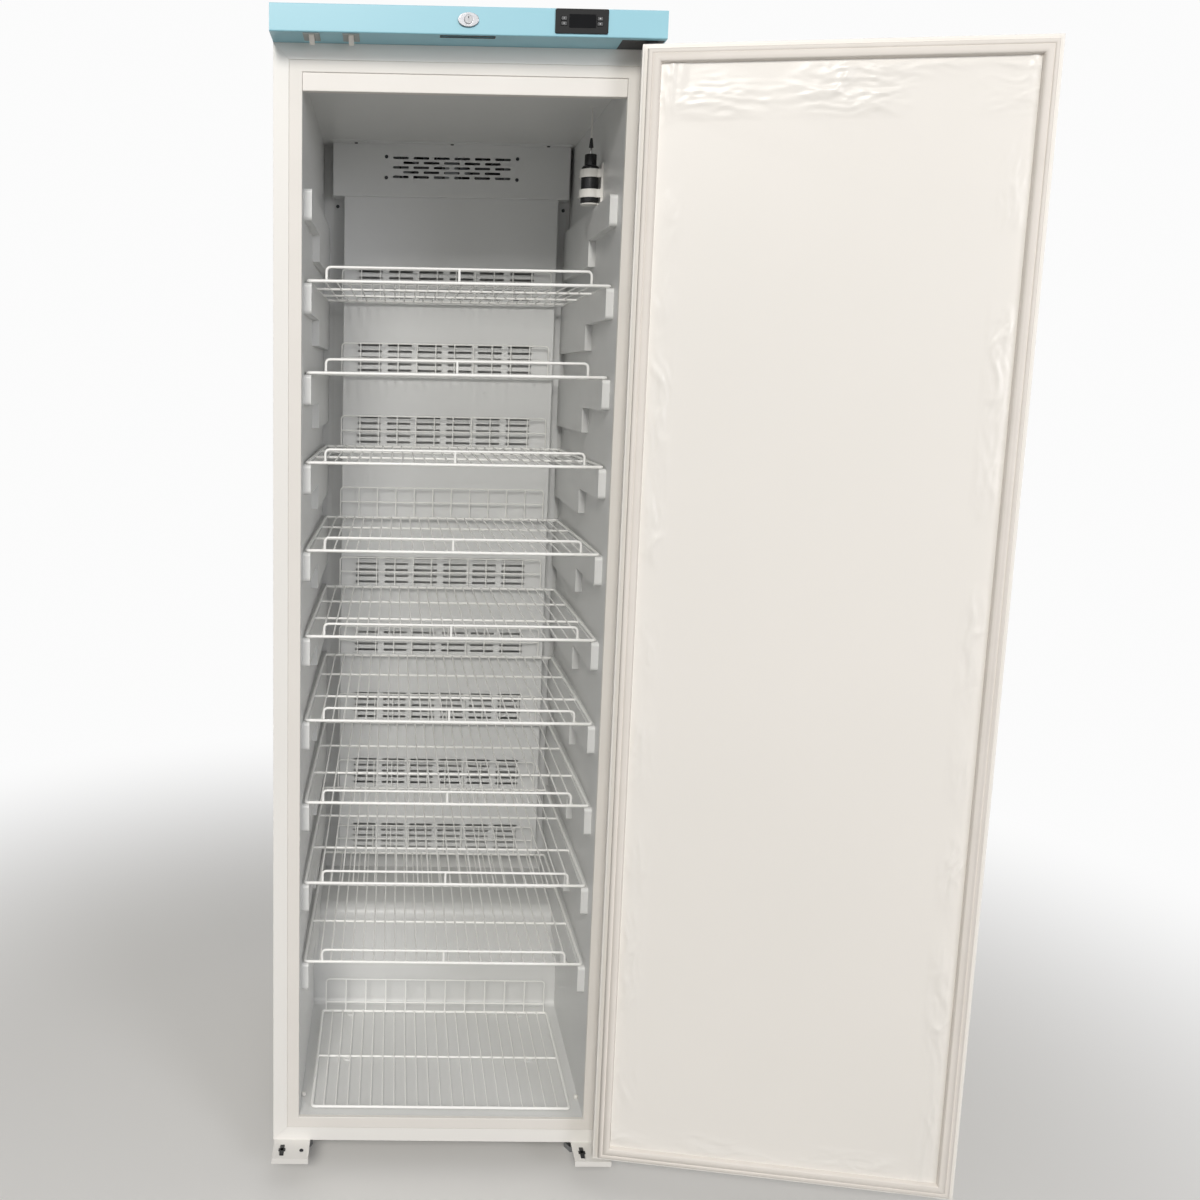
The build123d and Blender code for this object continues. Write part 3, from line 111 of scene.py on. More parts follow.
def addNode(material, kind, settings=None, links=None):
    node = material.node_tree.nodes.new(kind)
    for name, value in (settings or {}).items():
        if isinstance(name, int) or name in node.inputs:
            node.inputs[name].default_value = value
        else:
            setattr(node, name, value)
    for name, source in (links or {}).items():
        material.node_tree.links.new(source, node.inputs[name])
    return node


def newFinish(name, look):
    # base colour drifts between two near shades, and a fine grain lifts the surface
    material = bpy.data.materials.new(name)
    material.use_nodes = True
    material.node_tree.nodes.clear()
    place = addNode(material, "ShaderNodeTexCoord").outputs["Object"]
    cloud = addNode(material, "ShaderNodeTexNoise", {"Scale": 1 / look["cloudSize"], "Detail": 3.0}, {"Vector": place})
    shade = addNode(material, "ShaderNodeMix", {"data_type": "RGBA", 6: linearColour(look["colour"]),
                                                7: linearColour(look["shade"])}, {0: cloud.outputs["Fac"]})
    grain = addNode(material, "ShaderNodeTexNoise", {"Scale": 1 / look["grainSize"], "Detail": 2.0}, {"Vector": place})
    rough = addNode(material, "ShaderNodeMapRange", {"To Min": look["roughness"] - look["roughSpread"],
                                                     "To Max": look["roughness"] + look["roughSpread"]},
                    {"Value": grain.outputs["Fac"]})
    bump = addNode(material, "ShaderNodeBump", {"Strength": look["grainStrength"], "Distance": look["grainDepth"]},
                   {"Height": grain.outputs["Fac"]})
    shader = addNode(material, "ShaderNodeBsdfPrincipled", look.get("shader"),
                     {"Base Color": shade.outputs[2], "Roughness": rough.outputs[0], "Normal": bump.outputs[0]})
    addNode(material, "ShaderNodeOutputMaterial", links={"Surface": shader.outputs[0]})
    return material


def powderCoat(name, colour, shade, gloss=0.38):
    # sprayed and baked paint: even colour, soft sheen, a faint orange peel about 2 mm across
    return newFinish(name, {"colour": colour, "shade": shade, "cloudSize": 0.5, "grainSize": 2 * mm,
                            "grainDepth": 0.05 * mm, "grainStrength": 0.25, "roughness": gloss,
                            "roughSpread": 0.05, "shader": {"IOR": 1.5}})


def mouldedPlastic(name, colour, shade, gloss=0.42, grain=0.8 * mm, shine=0.5):
    # injection moulding: a fine matt texture from the tool, shade drifting with the flow
    return newFinish(name, {"colour": colour, "shade": shade, "cloudSize": 0.12, "grainSize": grain,
                            "grainDepth": 0.04 * mm, "grainStrength": 0.3, "roughness": gloss,
                            "roughSpread": 0.07, "shader": {"IOR": 1.47, "Specular IOR Level": shine}})


def formedLiner(name, colour, shade):
    # vacuum-formed sheet: smooth and softly glossy, with slow waves left by the cooling
    return newFinish(name, {"colour": colour, "shade": shade, "cloudSize": 0.35, "grainSize": 40 * mm,
                            "grainDepth": 0.25 * mm, "grainStrength": 0.3, "roughness": 0.36,
                            "roughSpread": 0.05, "shader": {"IOR": 1.53}})


def bareMetal(name, colour, shade, gloss=0.32, grain=1.2 * mm):
    # rolled or drawn metal, its grey broken up by handling
    return newFinish(name, {"colour": colour, "shade": shade, "cloudSize": 0.03, "grainSize": grain,
                            "grainDepth": 0.03 * mm, "grainStrength": 0.3, "roughness": gloss,
                            "roughSpread": 0.09, "shader": {"Metallic": 1.0}})


def softRubber(name, colour, shade):
    # extruded vinyl seal: matt, slightly waxy, with dust in its grain
    return newFinish(name, {"colour": colour, "shade": shade, "cloudSize": 0.06, "grainSize": 1.5 * mm,
                            "grainDepth": 0.06 * mm, "grainStrength": 0.4, "roughness": 0.6,
                            "roughSpread": 0.08, "shader": {"IOR": 1.5, "Sheen Weight": 0.1}})


def smokedLens(name, colour, shade):
    # polished dark acrylic over the display: almost black, with a sharp reflection
    return newFinish(name, {"colour": colour, "shade": shade, "cloudSize": 0.02, "grainSize": 12 * mm,
                            "grainDepth": 0.02 * mm, "grainStrength": 0.05, "roughness": 0.14,
                            "roughSpread": 0.03, "shader": {"IOR": 1.49, "Specular IOR Level": 0.15}})


finishes = {
    # painted steel sheet: white casing and door, light blue header, a cooler white inside, black compressor
    "casing_paint": powderCoat("whiteCasingPaint", "#F2F0EC", "#ECEAE5"),
    "header_paint": powderCoat("lightBlueHeaderPaint", "#9BCEDC", "#94C8D7", 0.36),
    "door_paint": powderCoat("whiteDoorPaint", "#F0EDE8", "#EAE7E1"),
    "inner_sheet_paint": powderCoat("whiteDuctPaint", "#E6E7E6", "#DEDFDF", 0.42),
    "compressor_paint": powderCoat("blackCompressorPaint", "#1B1B1C", "#262526", 0.45),
    # formed sheets: the pale grey liner and the warmer door panel, both softly glossy
    "liner_plastic": formedLiner("formedLinerPlastic", "#E2E2E0", "#DADBDA"),
    "door_panel_plastic": formedLiner("formedDoorPanelPlastic", "#EEEAE4", "#E6E2DA"),
    # moulded and extruded plastic: even and slightly matt, the black ones almost without shine
    "breaker_plastic": mouldedPlastic("extrudedFramePlastic", "#ECE8E2", "#E4E0DA", 0.4),
    "white_plastic": mouldedPlastic("whiteMouldedPlastic", "#F0EEEA", "#E6E4DF"),
    "light_bar_plastic": mouldedPlastic("whiteLampPlastic", "#F1EDE8", "#EAE5DF", 0.4),
    "switch_grey_plastic": mouldedPlastic("greySwitchPlastic", "#9FA5A4", "#8F9594"),
    "controller_plastic": mouldedPlastic("blackControllerPlastic", "#0C0D0E", "#131415", 0.5, 0.6 * mm, 0.25),
    "button_plastic": mouldedPlastic("blackButtonPlastic", "#3A3B3D", "#444547", 0.4, 0.6 * mm),
    "black_plastic": mouldedPlastic("blackMouldedPlastic", "#1E1F20", "#29292B"),
    "fan_blade_plastic": mouldedPlastic("blackFanPlastic", "#202122", "#2B2C2D", 0.35),
    "bottle_plastic": mouldedPlastic("blackBottlePlastic", "#141415", "#1E1E20", 0.28, 0.5 * mm),
    "handle_plastic": mouldedPlastic("whiteHandlePlastic", "#DCDCDA", "#D0D0CD"),
    "bush_plastic": mouldedPlastic("whiteBushPlastic", "#E5E3DC", "#D9D7CF", 0.5),
    "coated_wire": mouldedPlastic("whiteCoatedWire", "#FAFAF7", "#F4F4F1", 0.3, 3 * mm),  # dipped: whitest of all
    # seal and foam: dull and warm, with no highlight
    "gasket_rubber": softRubber("whiteGasketVinyl", "#E5DFD8", "#DBD5CD"),
    "foam": softRubber("creamInsulationFoam", "#E8DDBB", "#DCCFA8"),
    "display_glass": smokedLens("smokedDisplayAcrylic", "#0B0C0E", "#121316"),
    # metals: patchy zinc behind, greyer chrome and steel at the lock, bright probe, fins and copper inside
    "galvanised_sheet": bareMetal("galvanisedSheet", "#B4B8BA", "#9BA0A3", 0.42, 6 * mm),
    "lock_chrome": bareMetal("lockChrome", "#929396", "#7A7B7F", 0.3),
    "lock_steel": bareMetal("lockSteel", "#87888A", "#707174", 0.34),
    "probe_steel": bareMetal("probeStainlessSteel", "#B9B9B7", "#A5A5A3", 0.25),
    "bracket_steel": powderCoat("whiteBracketPaint", "#E9E7E3", "#DFDDD8", 0.45),  # steel under thick white paint
    "foot_steel": bareMetal("zincFootSteel", "#A7A9AB", "#8F9194", 0.4),
    "fin_aluminium": bareMetal("finAluminium", "#B7BABC", "#9DA0A3", 0.35),
    "copper_pipe": bareMetal("drawnCopper", "#C27A52", "#A8643F", 0.3),
}
clearFilm = newFinish("milkyProtectiveFilm", {  # thin polythene: glossy, milky, its tint drifting over the sheet
    "colour": "#F0ECE6", "shade": "#E7E4DE", "cloudSize": 0.6, "grainSize": 14 * mm, "grainDepth": 0.2 * mm,
    "grainStrength": 0.15, "roughness": 0.32, "roughSpread": 0.04, "shader": {"IOR": 1.5}})
screwSteel = bareMetal("blackenedScrewSteel", "#4A4B4D", "#38393B", 0.4)  # dark heads with dull glints
hingeShade = powderCoat("paintedHingeShade", "#2B2C2E", "#343537", 0.45)  # painted shade, black, with a soft sheen along its edges
pocketShade = powderCoat("paintedPocketShade", "#0C0D0E", "#121314", 0.7)  # painted shade of the unlit hollow, almost black
slotShade = softRubber("paintedSlotShade", "#161617", "#202022")  # painted shade behind the slots, black and matt, so that they read dark
markPaint = powderCoat("paleButtonMark", "#C9CBCC", "#BFC1C2", 0.5)  # pale print on the black buttons
for part in frame["record"]["subparts"]:
    mesh = nodes[part["node"]].data
    mesh.materials.clear()
    mesh.materials.append(finishes[part["material_slot"]])
print("materials ready")


# Modelling helpers

def deselectAll():
    for item in bpy.context.view_layer.objects:
        item.select_set(False)


def makeActive(piece):
    deselectAll()
    piece.select_set(True)
    bpy.context.view_layer.objects.active = piece


def settle(name):
    piece = bpy.context.active_object
    piece.name = name
    bpy.ops.object.transform_apply(location=True, rotation=True, scale=True)
    return piece


def startBox(name, low, high):
    deselectAll()
    bpy.ops.mesh.primitive_cube_add(size=1, location=(Vector(low) + Vector(high)) / 2)
    bpy.context.active_object.scale = Vector(high) - Vector(low)
    return settle(name)


def startRod(name, start, end, radius, sides=10):
    deselectAll()
    run = Vector(end) - Vector(start)
    bpy.ops.mesh.primitive_cylinder_add(vertices=sides, radius=radius, depth=run.length,
                                        location=(Vector(start) + Vector(end)) / 2,
                                        rotation=run.to_track_quat("Z", "Y").to_euler())
    return settle(name)


def pick(piece, kind, test):
    # leaves the piece in edit mode with the matching vertices, edges or faces selected
    makeActive(piece)
    bpy.ops.object.mode_set(mode="EDIT")
    bpy.ops.mesh.select_mode(type=kind)
    bpy.ops.mesh.select_all(action="DESELECT")
    mesh = bmesh.from_edit_mesh(piece.data)
    for item in {"VERT": mesh.verts, "EDGE": mesh.edges, "FACE": mesh.faces}[kind]:
        if test(item):
            item.select_set(True)
    mesh.select_flush_mode()
    bmesh.update_edit_mesh(piece.data)


def leaveEdit():
    bpy.ops.object.mode_set(mode="OBJECT")


def middle(item):
    return sum((v.co for v in item.verts), Vector()) / len(item.verts)


def applyModifier(piece, kind, settings):
    makeActive(piece)
    modifier = piece.modifiers.new(kind.lower(), kind)
    for name, value in settings.items():
        setattr(modifier, name, value)
    bpy.ops.object.modifier_apply(modifier=modifier.name)


def repeatAlong(piece, count, step):
    applyModifier(piece, "ARRAY", {"count": count, "use_relative_offset": False, "use_constant_offset": True,
                                   "constant_offset_displace": step})


def soften(piece, width, segments=2, angle=30):
    applyModifier(piece, "BEVEL", {"width": width, "segments": segments, "limit_method": "ANGLE",
                                   "angle_limit": math.radians(angle)})


def smooth(piece, angle=35):
    makeActive(piece)
    bpy.ops.object.shade_smooth_by_angle(angle=math.radians(angle))


def smoothFlat(piece, angle=35):
    # rounded edges shade smoothly, and the flat faces between them stay flat
    smooth(piece, angle)
    applyModifier(piece, "WEIGHTED_NORMAL", {"keep_sharp": True})


def joinPieces(name, pieces):
    deselectAll()
    for item in pieces:
        item.select_set(True)
    bpy.context.view_layer.objects.active = pieces[0]
    if len(pieces) > 1:
        bpy.ops.object.join()
    pieces[0].name = name
    return pieces[0]


def copyMoved(piece, name, step):
    twin = bpy.data.objects.new(name, piece.data.copy())
    bpy.context.scene.collection.objects.link(twin)
    twin.data.transform(Matrix.Translation(step))
    return twin


def cutOut(piece, cutter):
    applyModifier(piece, "BOOLEAN", {"operation": "DIFFERENCE", "solver": "EXACT", "object": cutter})
    bpy.data.objects.remove(cutter)


def handOver(piece, body, slot, *stands, finish=None):
    # a finish given here is worn in place of the slot's own
    if finish or not piece.data.materials or piece.data.materials[0] != finishes[slot]:
        piece.data.materials.clear()
        piece.data.materials.append(finish or finishes[slot])
    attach(piece, body)
    if stands:
        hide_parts(*stands)


def paintFaces(piece, slot, second, test):
    # the slot's finish all over, and a second one on the faces that pass the test
    piece.data.materials.clear()
    piece.data.materials.append(finishes[slot])
    piece.data.materials.append(second)
    for face in piece.data.polygons:
        face.material_index = int(test(face))


def bentRod(name, centre, size, rod, bend, upright, rearWidth=None):
    # a plane with rounded corners, its outline turned into round wire; an upright one is open below
    deselectAll()
    bpy.ops.mesh.primitive_plane_add(size=1, location=centre, rotation=(math.pi / 2 if upright else 0, 0, 0))
    bpy.context.active_object.scale = (size[0], size[1], 1)
    piece = settle(name)
    up = 2 if upright else 1
    top = centre[up] + size[1] / 2
    if rearWidth:
        pick(piece, "VERT", lambda v: v.co.y > centre[1])
        bpy.ops.transform.resize(value=(rearWidth / size[0], 1, 1))
        leaveEdit()
    pick(piece, "VERT", lambda v: not upright or abs(v.co[up] - top) < mm / 10)
    bpy.ops.mesh.bevel(offset=bend, segments=4, affect="VERTICES")
    bpy.ops.mesh.select_all(action="SELECT")
    bpy.ops.mesh.delete(type="ONLY_FACE")
    leaveEdit()
    if upright:
        pick(piece, "EDGE", lambda e: abs(middle(e)[up] - (top - size[1])) < mm / 10)
        bpy.ops.mesh.delete(type="EDGE")
        leaveEdit()
    makeActive(piece)
    bpy.ops.object.convert(target="CURVE")
    wire = bpy.context.active_object
    wire.data.bevel_depth = rod / 2
    wire.data.bevel_resolution = 2
    wire.data.use_fill_caps = upright
    bpy.ops.object.convert(target="MESH")
    return settle(name)


# Wire shelves: one modelled at the highest place, the others copied below it
shelfNames = [f"shelf_{number}" for number in range(1, 10)]
shelfLook = {
    "rail": 5.5 * mm, "wire": 2.8 * mm, "wireCount": 24, "bars": 2, "barRadius": 2.2 * mm,
    "cornerBend": 8 * mm, "rearNarrower": 9.6 * mm,
    "frontWidth": 440 * mm, "frontHeight": 22 * mm, "frontRod": 4.5 * mm,
    "rearWidth": 430 * mm, "rearHeight": 62 * mm, "rearCells": 11, "fenceBend": 7 * mm,
}


def makeShelf(look):
    low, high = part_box(shelfNames[0])
    rail, wire = look["rail"], look["wire"]
    level = low.z + rail / 2
    width = high.x - low.x - rail
    run = high.y - low.y - rail
    yMiddle = (low.y + high.y) / 2
    rearWidth = width - look["rearNarrower"]
    pieces = [bentRod("shelfRail", (0, yMiddle, level), (width, run), rail, look["cornerBend"] - rail / 2, False,
                      rearWidth)]
    pitch = (rearWidth - rail) / (look["wireCount"] + 1)
    firstX = -pitch * (look["wireCount"] - 1) / 2
    wireLevel = level + wire / 2
    longWires = startRod("shelfWires", (firstX, low.y + rail / 2, wireLevel), (firstX, high.y - rail / 2, wireLevel),
                         wire / 2)
    repeatAlong(longWires, look["wireCount"], (pitch, 0, 0))
    pieces.append(longWires)
    for number in range(look["bars"]):
        share = (number + 1) / (look["bars"] + 1)  # of the way back
        barY = low.y + (high.y - low.y) * share
        half = (width - look["rearNarrower"] * share) / 2
        pieces.append(startRod("shelfBar", (-half, barY, level - wire / 2), (half, barY, level - wire / 2),
                               look["barRadius"]))
    pieces += makeFence("frontLoop", low.y + rail / 2, level + rail / 2, look["frontWidth"], look["frontHeight"],
                        look["frontRod"], look["fenceBend"], 2, False)
    pieces += makeFence("rearFence", high.y - rail / 2, level + rail / 2, look["rearWidth"], look["rearHeight"],
                        wire, look["fenceBend"], look["rearCells"], True)
    return joinPieces("shelfWires1", pieces)


def makeFence(name, y, foot, width, height, rod, bend, cells, midWire):
    top = height - rod / 2
    loop = bentRod(name, (0, y, foot + top / 2), (width - rod, top), rod, bend, True)
    pitch = (width - rod) / cells
    firstX = -pitch * (cells - 2) / 2
    posts = startRod(name + "Posts", (firstX, y, foot), (firstX, y, foot + top), rod / 2)
    if cells > 2:
        repeatAlong(posts, cells - 1, (pitch, 0, 0))
    pieces = [loop, posts]
    if midWire:
        half = (width - rod) / 2
        pieces.append(startRod(name + "Mid", (-half, y, foot + top / 2), (half, y, foot + top / 2), rod / 2))
    return pieces


firstShelf = makeShelf(shelfLook)
smooth(firstShelf, 50)
for number, shelfName in enumerate(shelfNames, 1):
    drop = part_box(shelfName)[0].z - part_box(shelfNames[0])[0].z
    shelf = firstShelf if number == 1 else copyMoved(firstShelf, f"shelfWires{number}", (0, 0, drop))
    handOver(shelf, shelfName, "coated_wire", shelfName)
print("shelves ready")

# Floor grid, with one bar across its middle and a low wire along its fence
gridLook = {"rail": 5.5 * mm, "wire": 2.8 * mm, "wireCount": 21, "barRadius": 2.2 * mm, "cornerBend": 8 * mm,
            "fenceInset": 8 * mm, "fenceFoot": 17 * mm, "fenceCells": 11, "fenceBend": 7 * mm}


def makeFloorGrid(look):
    low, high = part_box("floor_grid")
    rail, wire = look["rail"], look["wire"]
    level = low.z + rail / 2
    width = high.x - low.x - rail
    run = high.y - low.y - rail
    yMiddle = (low.y + high.y) / 2
    pieces = [bentRod("gridRail", (0, yMiddle, level), (width, run), rail, look["cornerBend"] - rail / 2, False)]
    pitch = width / (look["wireCount"] + 1)
    firstX = -pitch * (look["wireCount"] - 1) / 2
    longWires = startRod("gridWires", (firstX, low.y + rail / 2, level + wire / 2),
                         (firstX, high.y - rail / 2, level + wire / 2), wire / 2)
    repeatAlong(longWires, look["wireCount"], (pitch, 0, 0))
    pieces.append(longWires)
    pieces.append(startRod("gridBar", (-width / 2, yMiddle, level - wire / 2), (width / 2, yMiddle, level - wire / 2),
                           look["barRadius"]))
    foot = level + rail / 2
    pieces += makeFence("gridFence", high.y - rail / 2, foot, high.x - low.x - 2 * look["fenceInset"], high.z - foot,
                        wire, look["fenceBend"], look["fenceCells"], False)
    lowWire = foot + look["fenceFoot"]
    half = (high.x - low.x) / 2 - look["fenceInset"] - wire / 2
    pieces.append(startRod("gridLowWire", (-half, high.y - rail / 2, lowWire), (half, high.y - rail / 2, lowWire),
                           wire / 2))
    return joinPieces("floorGridWires", pieces)


floorGrid = makeFloorGrid(gridLook)
smooth(floorGrid, 50)
handOver(floorGrid, "floor_grid", "coated_wire", "floor_grid")
print("floor grid ready")


# Screws: pan head with a cross recess, modelled once and copied
screwLook = {"radius": 3.6 * mm, "height": 1.6 * mm, "rim": 1.26 * mm, "round": 0.96 * mm, "recess": 0.9 * mm,
             "armWidth": 0.9 * mm, "armReach": 1.98 * mm}


def makeScrew(look):
    # head stands on the XZ plane and faces -Y
    radius, height = look["radius"], look["height"]
    head = startRod("screw", (0, 0, 0), (0, -height, 0), radius, 20)
    pick(head, "FACE", lambda f: f.normal.y < -0.5)
    bpy.ops.mesh.inset(thickness=look["rim"], depth=0)
    leaveEdit()
    pick(head, "EDGE", lambda e: middle(e).y < -0.9 * height and middle(e).xz.length > radius * 0.9)
    bpy.ops.mesh.bevel(offset=look["round"], segments=3)
    leaveEdit()
    arm, reach = look["armWidth"] / 2, look["armReach"]
    for x, z in ((arm, reach), (reach, arm)):
        cutOut(head, startBox("recess", (-x, -height - look["recess"], -z), (x, -height + look["recess"], z)))
    return head


screwModel = makeScrew(screwLook)


def placeScrews(name, places, turn=None):
    screws = []
    for number, place in enumerate(places):
        twin = copyMoved(screwModel, f"{name}{number}", (0, 0, 0))
        if turn:
            twin.data.transform(turn)
        twin.data.transform(Matrix.Translation(place))
        screws.append(twin)
    group = joinPieces(name, screws)
    smooth(group, 40)
    return group


def slotCutter(name, centre, length, height, depth):
    # a rod across the sheet, stretched sideways into a slot with round ends
    x, y, z = centre
    half = (length - height) / 2
    cutter = startRod(name, (x - half, y - depth, z), (x - half, y + depth, z), height / 2, 16)
    pick(cutter, "VERT", lambda v: v.co.x > x - half + mm / 100)
    bpy.ops.transform.translate(value=(2 * half, 0, 0))
    leaveEdit()
    return cutter


# Air duct: hat-section sheet with six round-ended slots in each row
ductLook = {"sheet": 1.2 * mm, "flange": 20 * mm, "fold": 2 * mm, "slotLength": 50 * mm, "slotPitch": 62.4 * mm,
            "slotHeight": 5 * mm, "rowPitch": 12.9 * mm, "rows": 5, "columns": 6, "rise": 35 * mm,
            "blankShelf": "shelf_4", "screwDrop": 15 * mm, "screwInset": 5 * mm}


def makeDuct(look):
    low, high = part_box("duct_panel")
    flange, sheet = look["flange"], look["sheet"]
    left, right = low.x + flange, high.x - flange
    back = high.y - sheet
    duct = startBox("ductPanel", (left, low.y, low.z), (right, back, high.z))
    pick(duct, "FACE", lambda f: f.normal.y > 0.5 or abs(f.normal.z) > 0.5)
    bpy.ops.mesh.delete(type="FACE")
    leaveEdit()
    for edgeX, way in ((left, -1), (right, 1)):
        pick(duct, "EDGE", lambda e: abs(middle(e).x - edgeX) < mm and abs(middle(e).y - back) < mm / 10)
        bpy.ops.mesh.extrude_edges_move(TRANSFORM_OT_translate={"value": (way * flange, 0, 0)})
        leaveEdit()
    pick(duct, "EDGE", lambda e: not e.is_boundary)
    bpy.ops.mesh.bevel(offset=look["fold"], segments=3)
    leaveEdit()
    applyModifier(duct, "SOLIDIFY", {"thickness": sheet, "offset": -1})
    halfSlots = look["slotPitch"] * (look["columns"] - 1) / 2
    for shelfName in shelfNames:
        if shelfName == look["blankShelf"]:
            continue
        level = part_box(shelfName)[0].z + shelfLook["rail"] / 2
        bottomRow = level + look["rise"] - look["rowPitch"] * (look["rows"] - 1) / 2
        cutter = slotCutter("slots", (-halfSlots, low.y, bottomRow), look["slotLength"], look["slotHeight"],
                            5 * sheet)  # deep enough to pass both faces
        repeatAlong(cutter, look["columns"], (look["slotPitch"], 0, 0))
        repeatAlong(cutter, look["rows"], (0, 0, look["rowPitch"]))
        cutOut(duct, cutter)
    return duct


duct = makeDuct(ductLook)
smoothFlat(duct, 30)
# the back faces carry black painted shade, so that the slots read dark
paintFaces(duct, "inner_sheet_paint", slotShade, lambda face: face.normal.y > 0.5)
handOver(duct, "cabinet", "inner_sheet_paint", "duct_panel")
ductLow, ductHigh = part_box("duct_panel")
ductScrews = placeScrews("ductScrews", [(x, ductHigh.y - ductLook["sheet"], ductHigh.z - ductLook["screwDrop"])
                                        for x in (ductLow.x + ductLook["screwInset"],
                                                  ductHigh.x - ductLook["screwInset"])])
handOver(ductScrews, "cabinet", "bracket_steel", finish=screwSteel)
print("duct ready")

# Evaporator cover: folded sheet under the ceiling with staggered slots
coverLook = {"sheet": 1.2 * mm, "lip": 25 * mm, "fold": 2.5 * mm, "slotLength": 32 * mm, "slotHeight": 5.2 * mm,
             "slotPitch": 41.4 * mm, "rowPitch": 9.3 * mm, "rows": 5, "columns": 6, "drop": 46.5 * mm,
             "screwReach": 132.7 * mm, "screwRise": 20.5 * mm, "lipScrews": (-188 * mm, 5 * mm, 199 * mm),
             "lipScrewBack": 12 * mm}


def makeCover(look):
    low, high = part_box("evaporator_cover")
    front = low.y + look["lip"]
    sheet = look["sheet"]
    cover = startBox("evaporatorCover", (low.x, front, low.z), (high.x, high.y, high.z - sheet))
    pick(cover, "FACE", lambda f: f.normal.y > 0.5 or f.normal.z > 0.5)
    bpy.ops.mesh.delete(type="FACE")
    leaveEdit()
    pick(cover, "EDGE", lambda e: middle(e).z > high.z - 2 * sheet and abs(middle(e).y - front) < mm / 10)
    bpy.ops.mesh.extrude_edges_move(TRANSFORM_OT_translate={"value": (0, -look["lip"], 0)})
    leaveEdit()
    pick(cover, "EDGE", lambda e: not e.is_boundary)
    bpy.ops.mesh.bevel(offset=look["fold"], segments=3)
    leaveEdit()
    applyModifier(cover, "SOLIDIFY", {"thickness": sheet, "offset": -1})
    centreX = (low.x + high.x) / 2
    centreZ = high.z - look["drop"]
    for columns, rows in ((look["columns"], (look["rows"] + 1) // 2), (look["columns"] - 1, look["rows"] // 2)):
        cutter = slotCutter("slots", (centreX - look["slotPitch"] * (columns - 1) / 2, front,
                                      centreZ - look["rowPitch"] * (rows - 1)), look["slotLength"],
                            look["slotHeight"], 5 * sheet)
        repeatAlong(cutter, columns, (look["slotPitch"], 0, 0))
        repeatAlong(cutter, rows, (0, 0, 2 * look["rowPitch"]))
        cutOut(cover, cutter)
    return cover


cover = makeCover(coverLook)
smoothFlat(cover, 30)
# the back faces carry black painted shade, so that the slots read dark
paintFaces(cover, "inner_sheet_paint", slotShade, lambda face: face.normal.y > 0.5)
handOver(cover, "cabinet", "inner_sheet_paint", "evaporator_cover")
coverLow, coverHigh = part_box("evaporator_cover")
coverFront = coverLow.y + coverLook["lip"]
grilleX = (coverLow.x + coverHigh.x) / 2
grilleZ = coverHigh.z - coverLook["drop"]
coverScrews = placeScrews("coverScrews", [
    (grilleX + side * coverLook["screwReach"], coverFront, grilleZ + rise * coverLook["screwRise"])
    for side in (-1, 1) for rise in (-1, 1)])
handOver(coverScrews, "cabinet", "bracket_steel", finish=screwSteel)
lipScrews = placeScrews("lipScrews", [(x, coverFront - coverLook["lipScrewBack"], coverHigh.z - 2 * coverLook["sheet"])
                                      for x in coverLook["lipScrews"]], Matrix.Rotation(math.pi / 2, 4, "X"))
handOver(lipScrews, "cabinet", "bracket_steel", finish=screwSteel)
print("evaporator cover ready")


# Door: pieces are modelled with the door shut and then turned to where it stands
doorJoint = joints["door_hinge"]
doorTurn = math.radians(-doorJoint["range_deg"][0])
doorLook = {"inside": -10.3 * mm, "panelHalf": 294 * mm, "panelLow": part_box("door_inner_panel")[0].z,
            "panelHigh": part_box("door_inner_panel")[1].z}


def openDoor(piece):
    hinge = Matrix.Translation(doorJoint["pos_m"])
    piece.data.transform(hinge @ Matrix.Rotation(doorTurn, 4, "Z") @ hinge.inverted())


# Gasket: each step of its profile goes that far inwards and rises that far, so its corners are mitred
gasketLook = {"margin": 4.5 * mm, "width": 21.5 * mm,
              "steps": ((0.6, 5.5), (0.8, 2.2), (1.6, 1.6), (3.4, 0.5), (1.0, -1.2), (0.8, -0.6), (0.8, 0.6),
                        (1.0, 1.2), (5.6, 0.2), (3.0, -0.8), (1.6, -2.8), (0.9, -4.6), (0.9, -2.4))}  # mm


def makeGasket(look):
    margin = look["margin"]
    half = doorLook["panelHalf"] - margin
    low, high = doorLook["panelLow"] + margin, doorLook["panelHigh"] - margin
    deselectAll()
    bpy.ops.mesh.primitive_plane_add(size=1, location=(0, doorLook["inside"], (low + high) / 2),
                                     rotation=(-math.pi / 2, 0, 0))
    bpy.context.active_object.scale = (2 * half, high - low, 1)
    gasket = settle("doorGasket")
    pick(gasket, "FACE", lambda f: True)
    for width, rise in look["steps"]:
        bpy.ops.mesh.inset(thickness=width * mm, depth=rise * mm)
    bpy.ops.mesh.delete(type="FACE")
    leaveEdit()
    return gasket


gasket = makeGasket(gasketLook)
openDoor(gasket)
smooth(gasket, 60)
handOver(gasket, "door", "gasket_rubber", "door_gasket")

# Film on the inner panel: it has crept and creased along its borders
filmLook = {
    "step": 2.8 * mm, "standOff": 0.4 * mm, "height": 2.4 * mm, "topReach": 85 * mm, "sideReach": 45 * mm,
    "edgeFade": 10 * mm, "sideShare": 0.7,
    "longCrease": 85 * mm, "crease": 17 * mm, "sharpness": 3.2, "swell": 0.6, "swellSeed": 1.3,
    "layers": ((1.0, 1.0, 0.5), (0.6, 0.6, 5.2), (0.35, 0.4, 9.4)),  # share, size, seed
    "drift": 1.3, "driftLong": 65 * mm, "driftAcross": 50 * mm, "driftSeed": 8.1,
    "patch": 120 * mm, "patchBase": 0.45, "patchGain": 1.6, "patchSeed": 3.7,
}


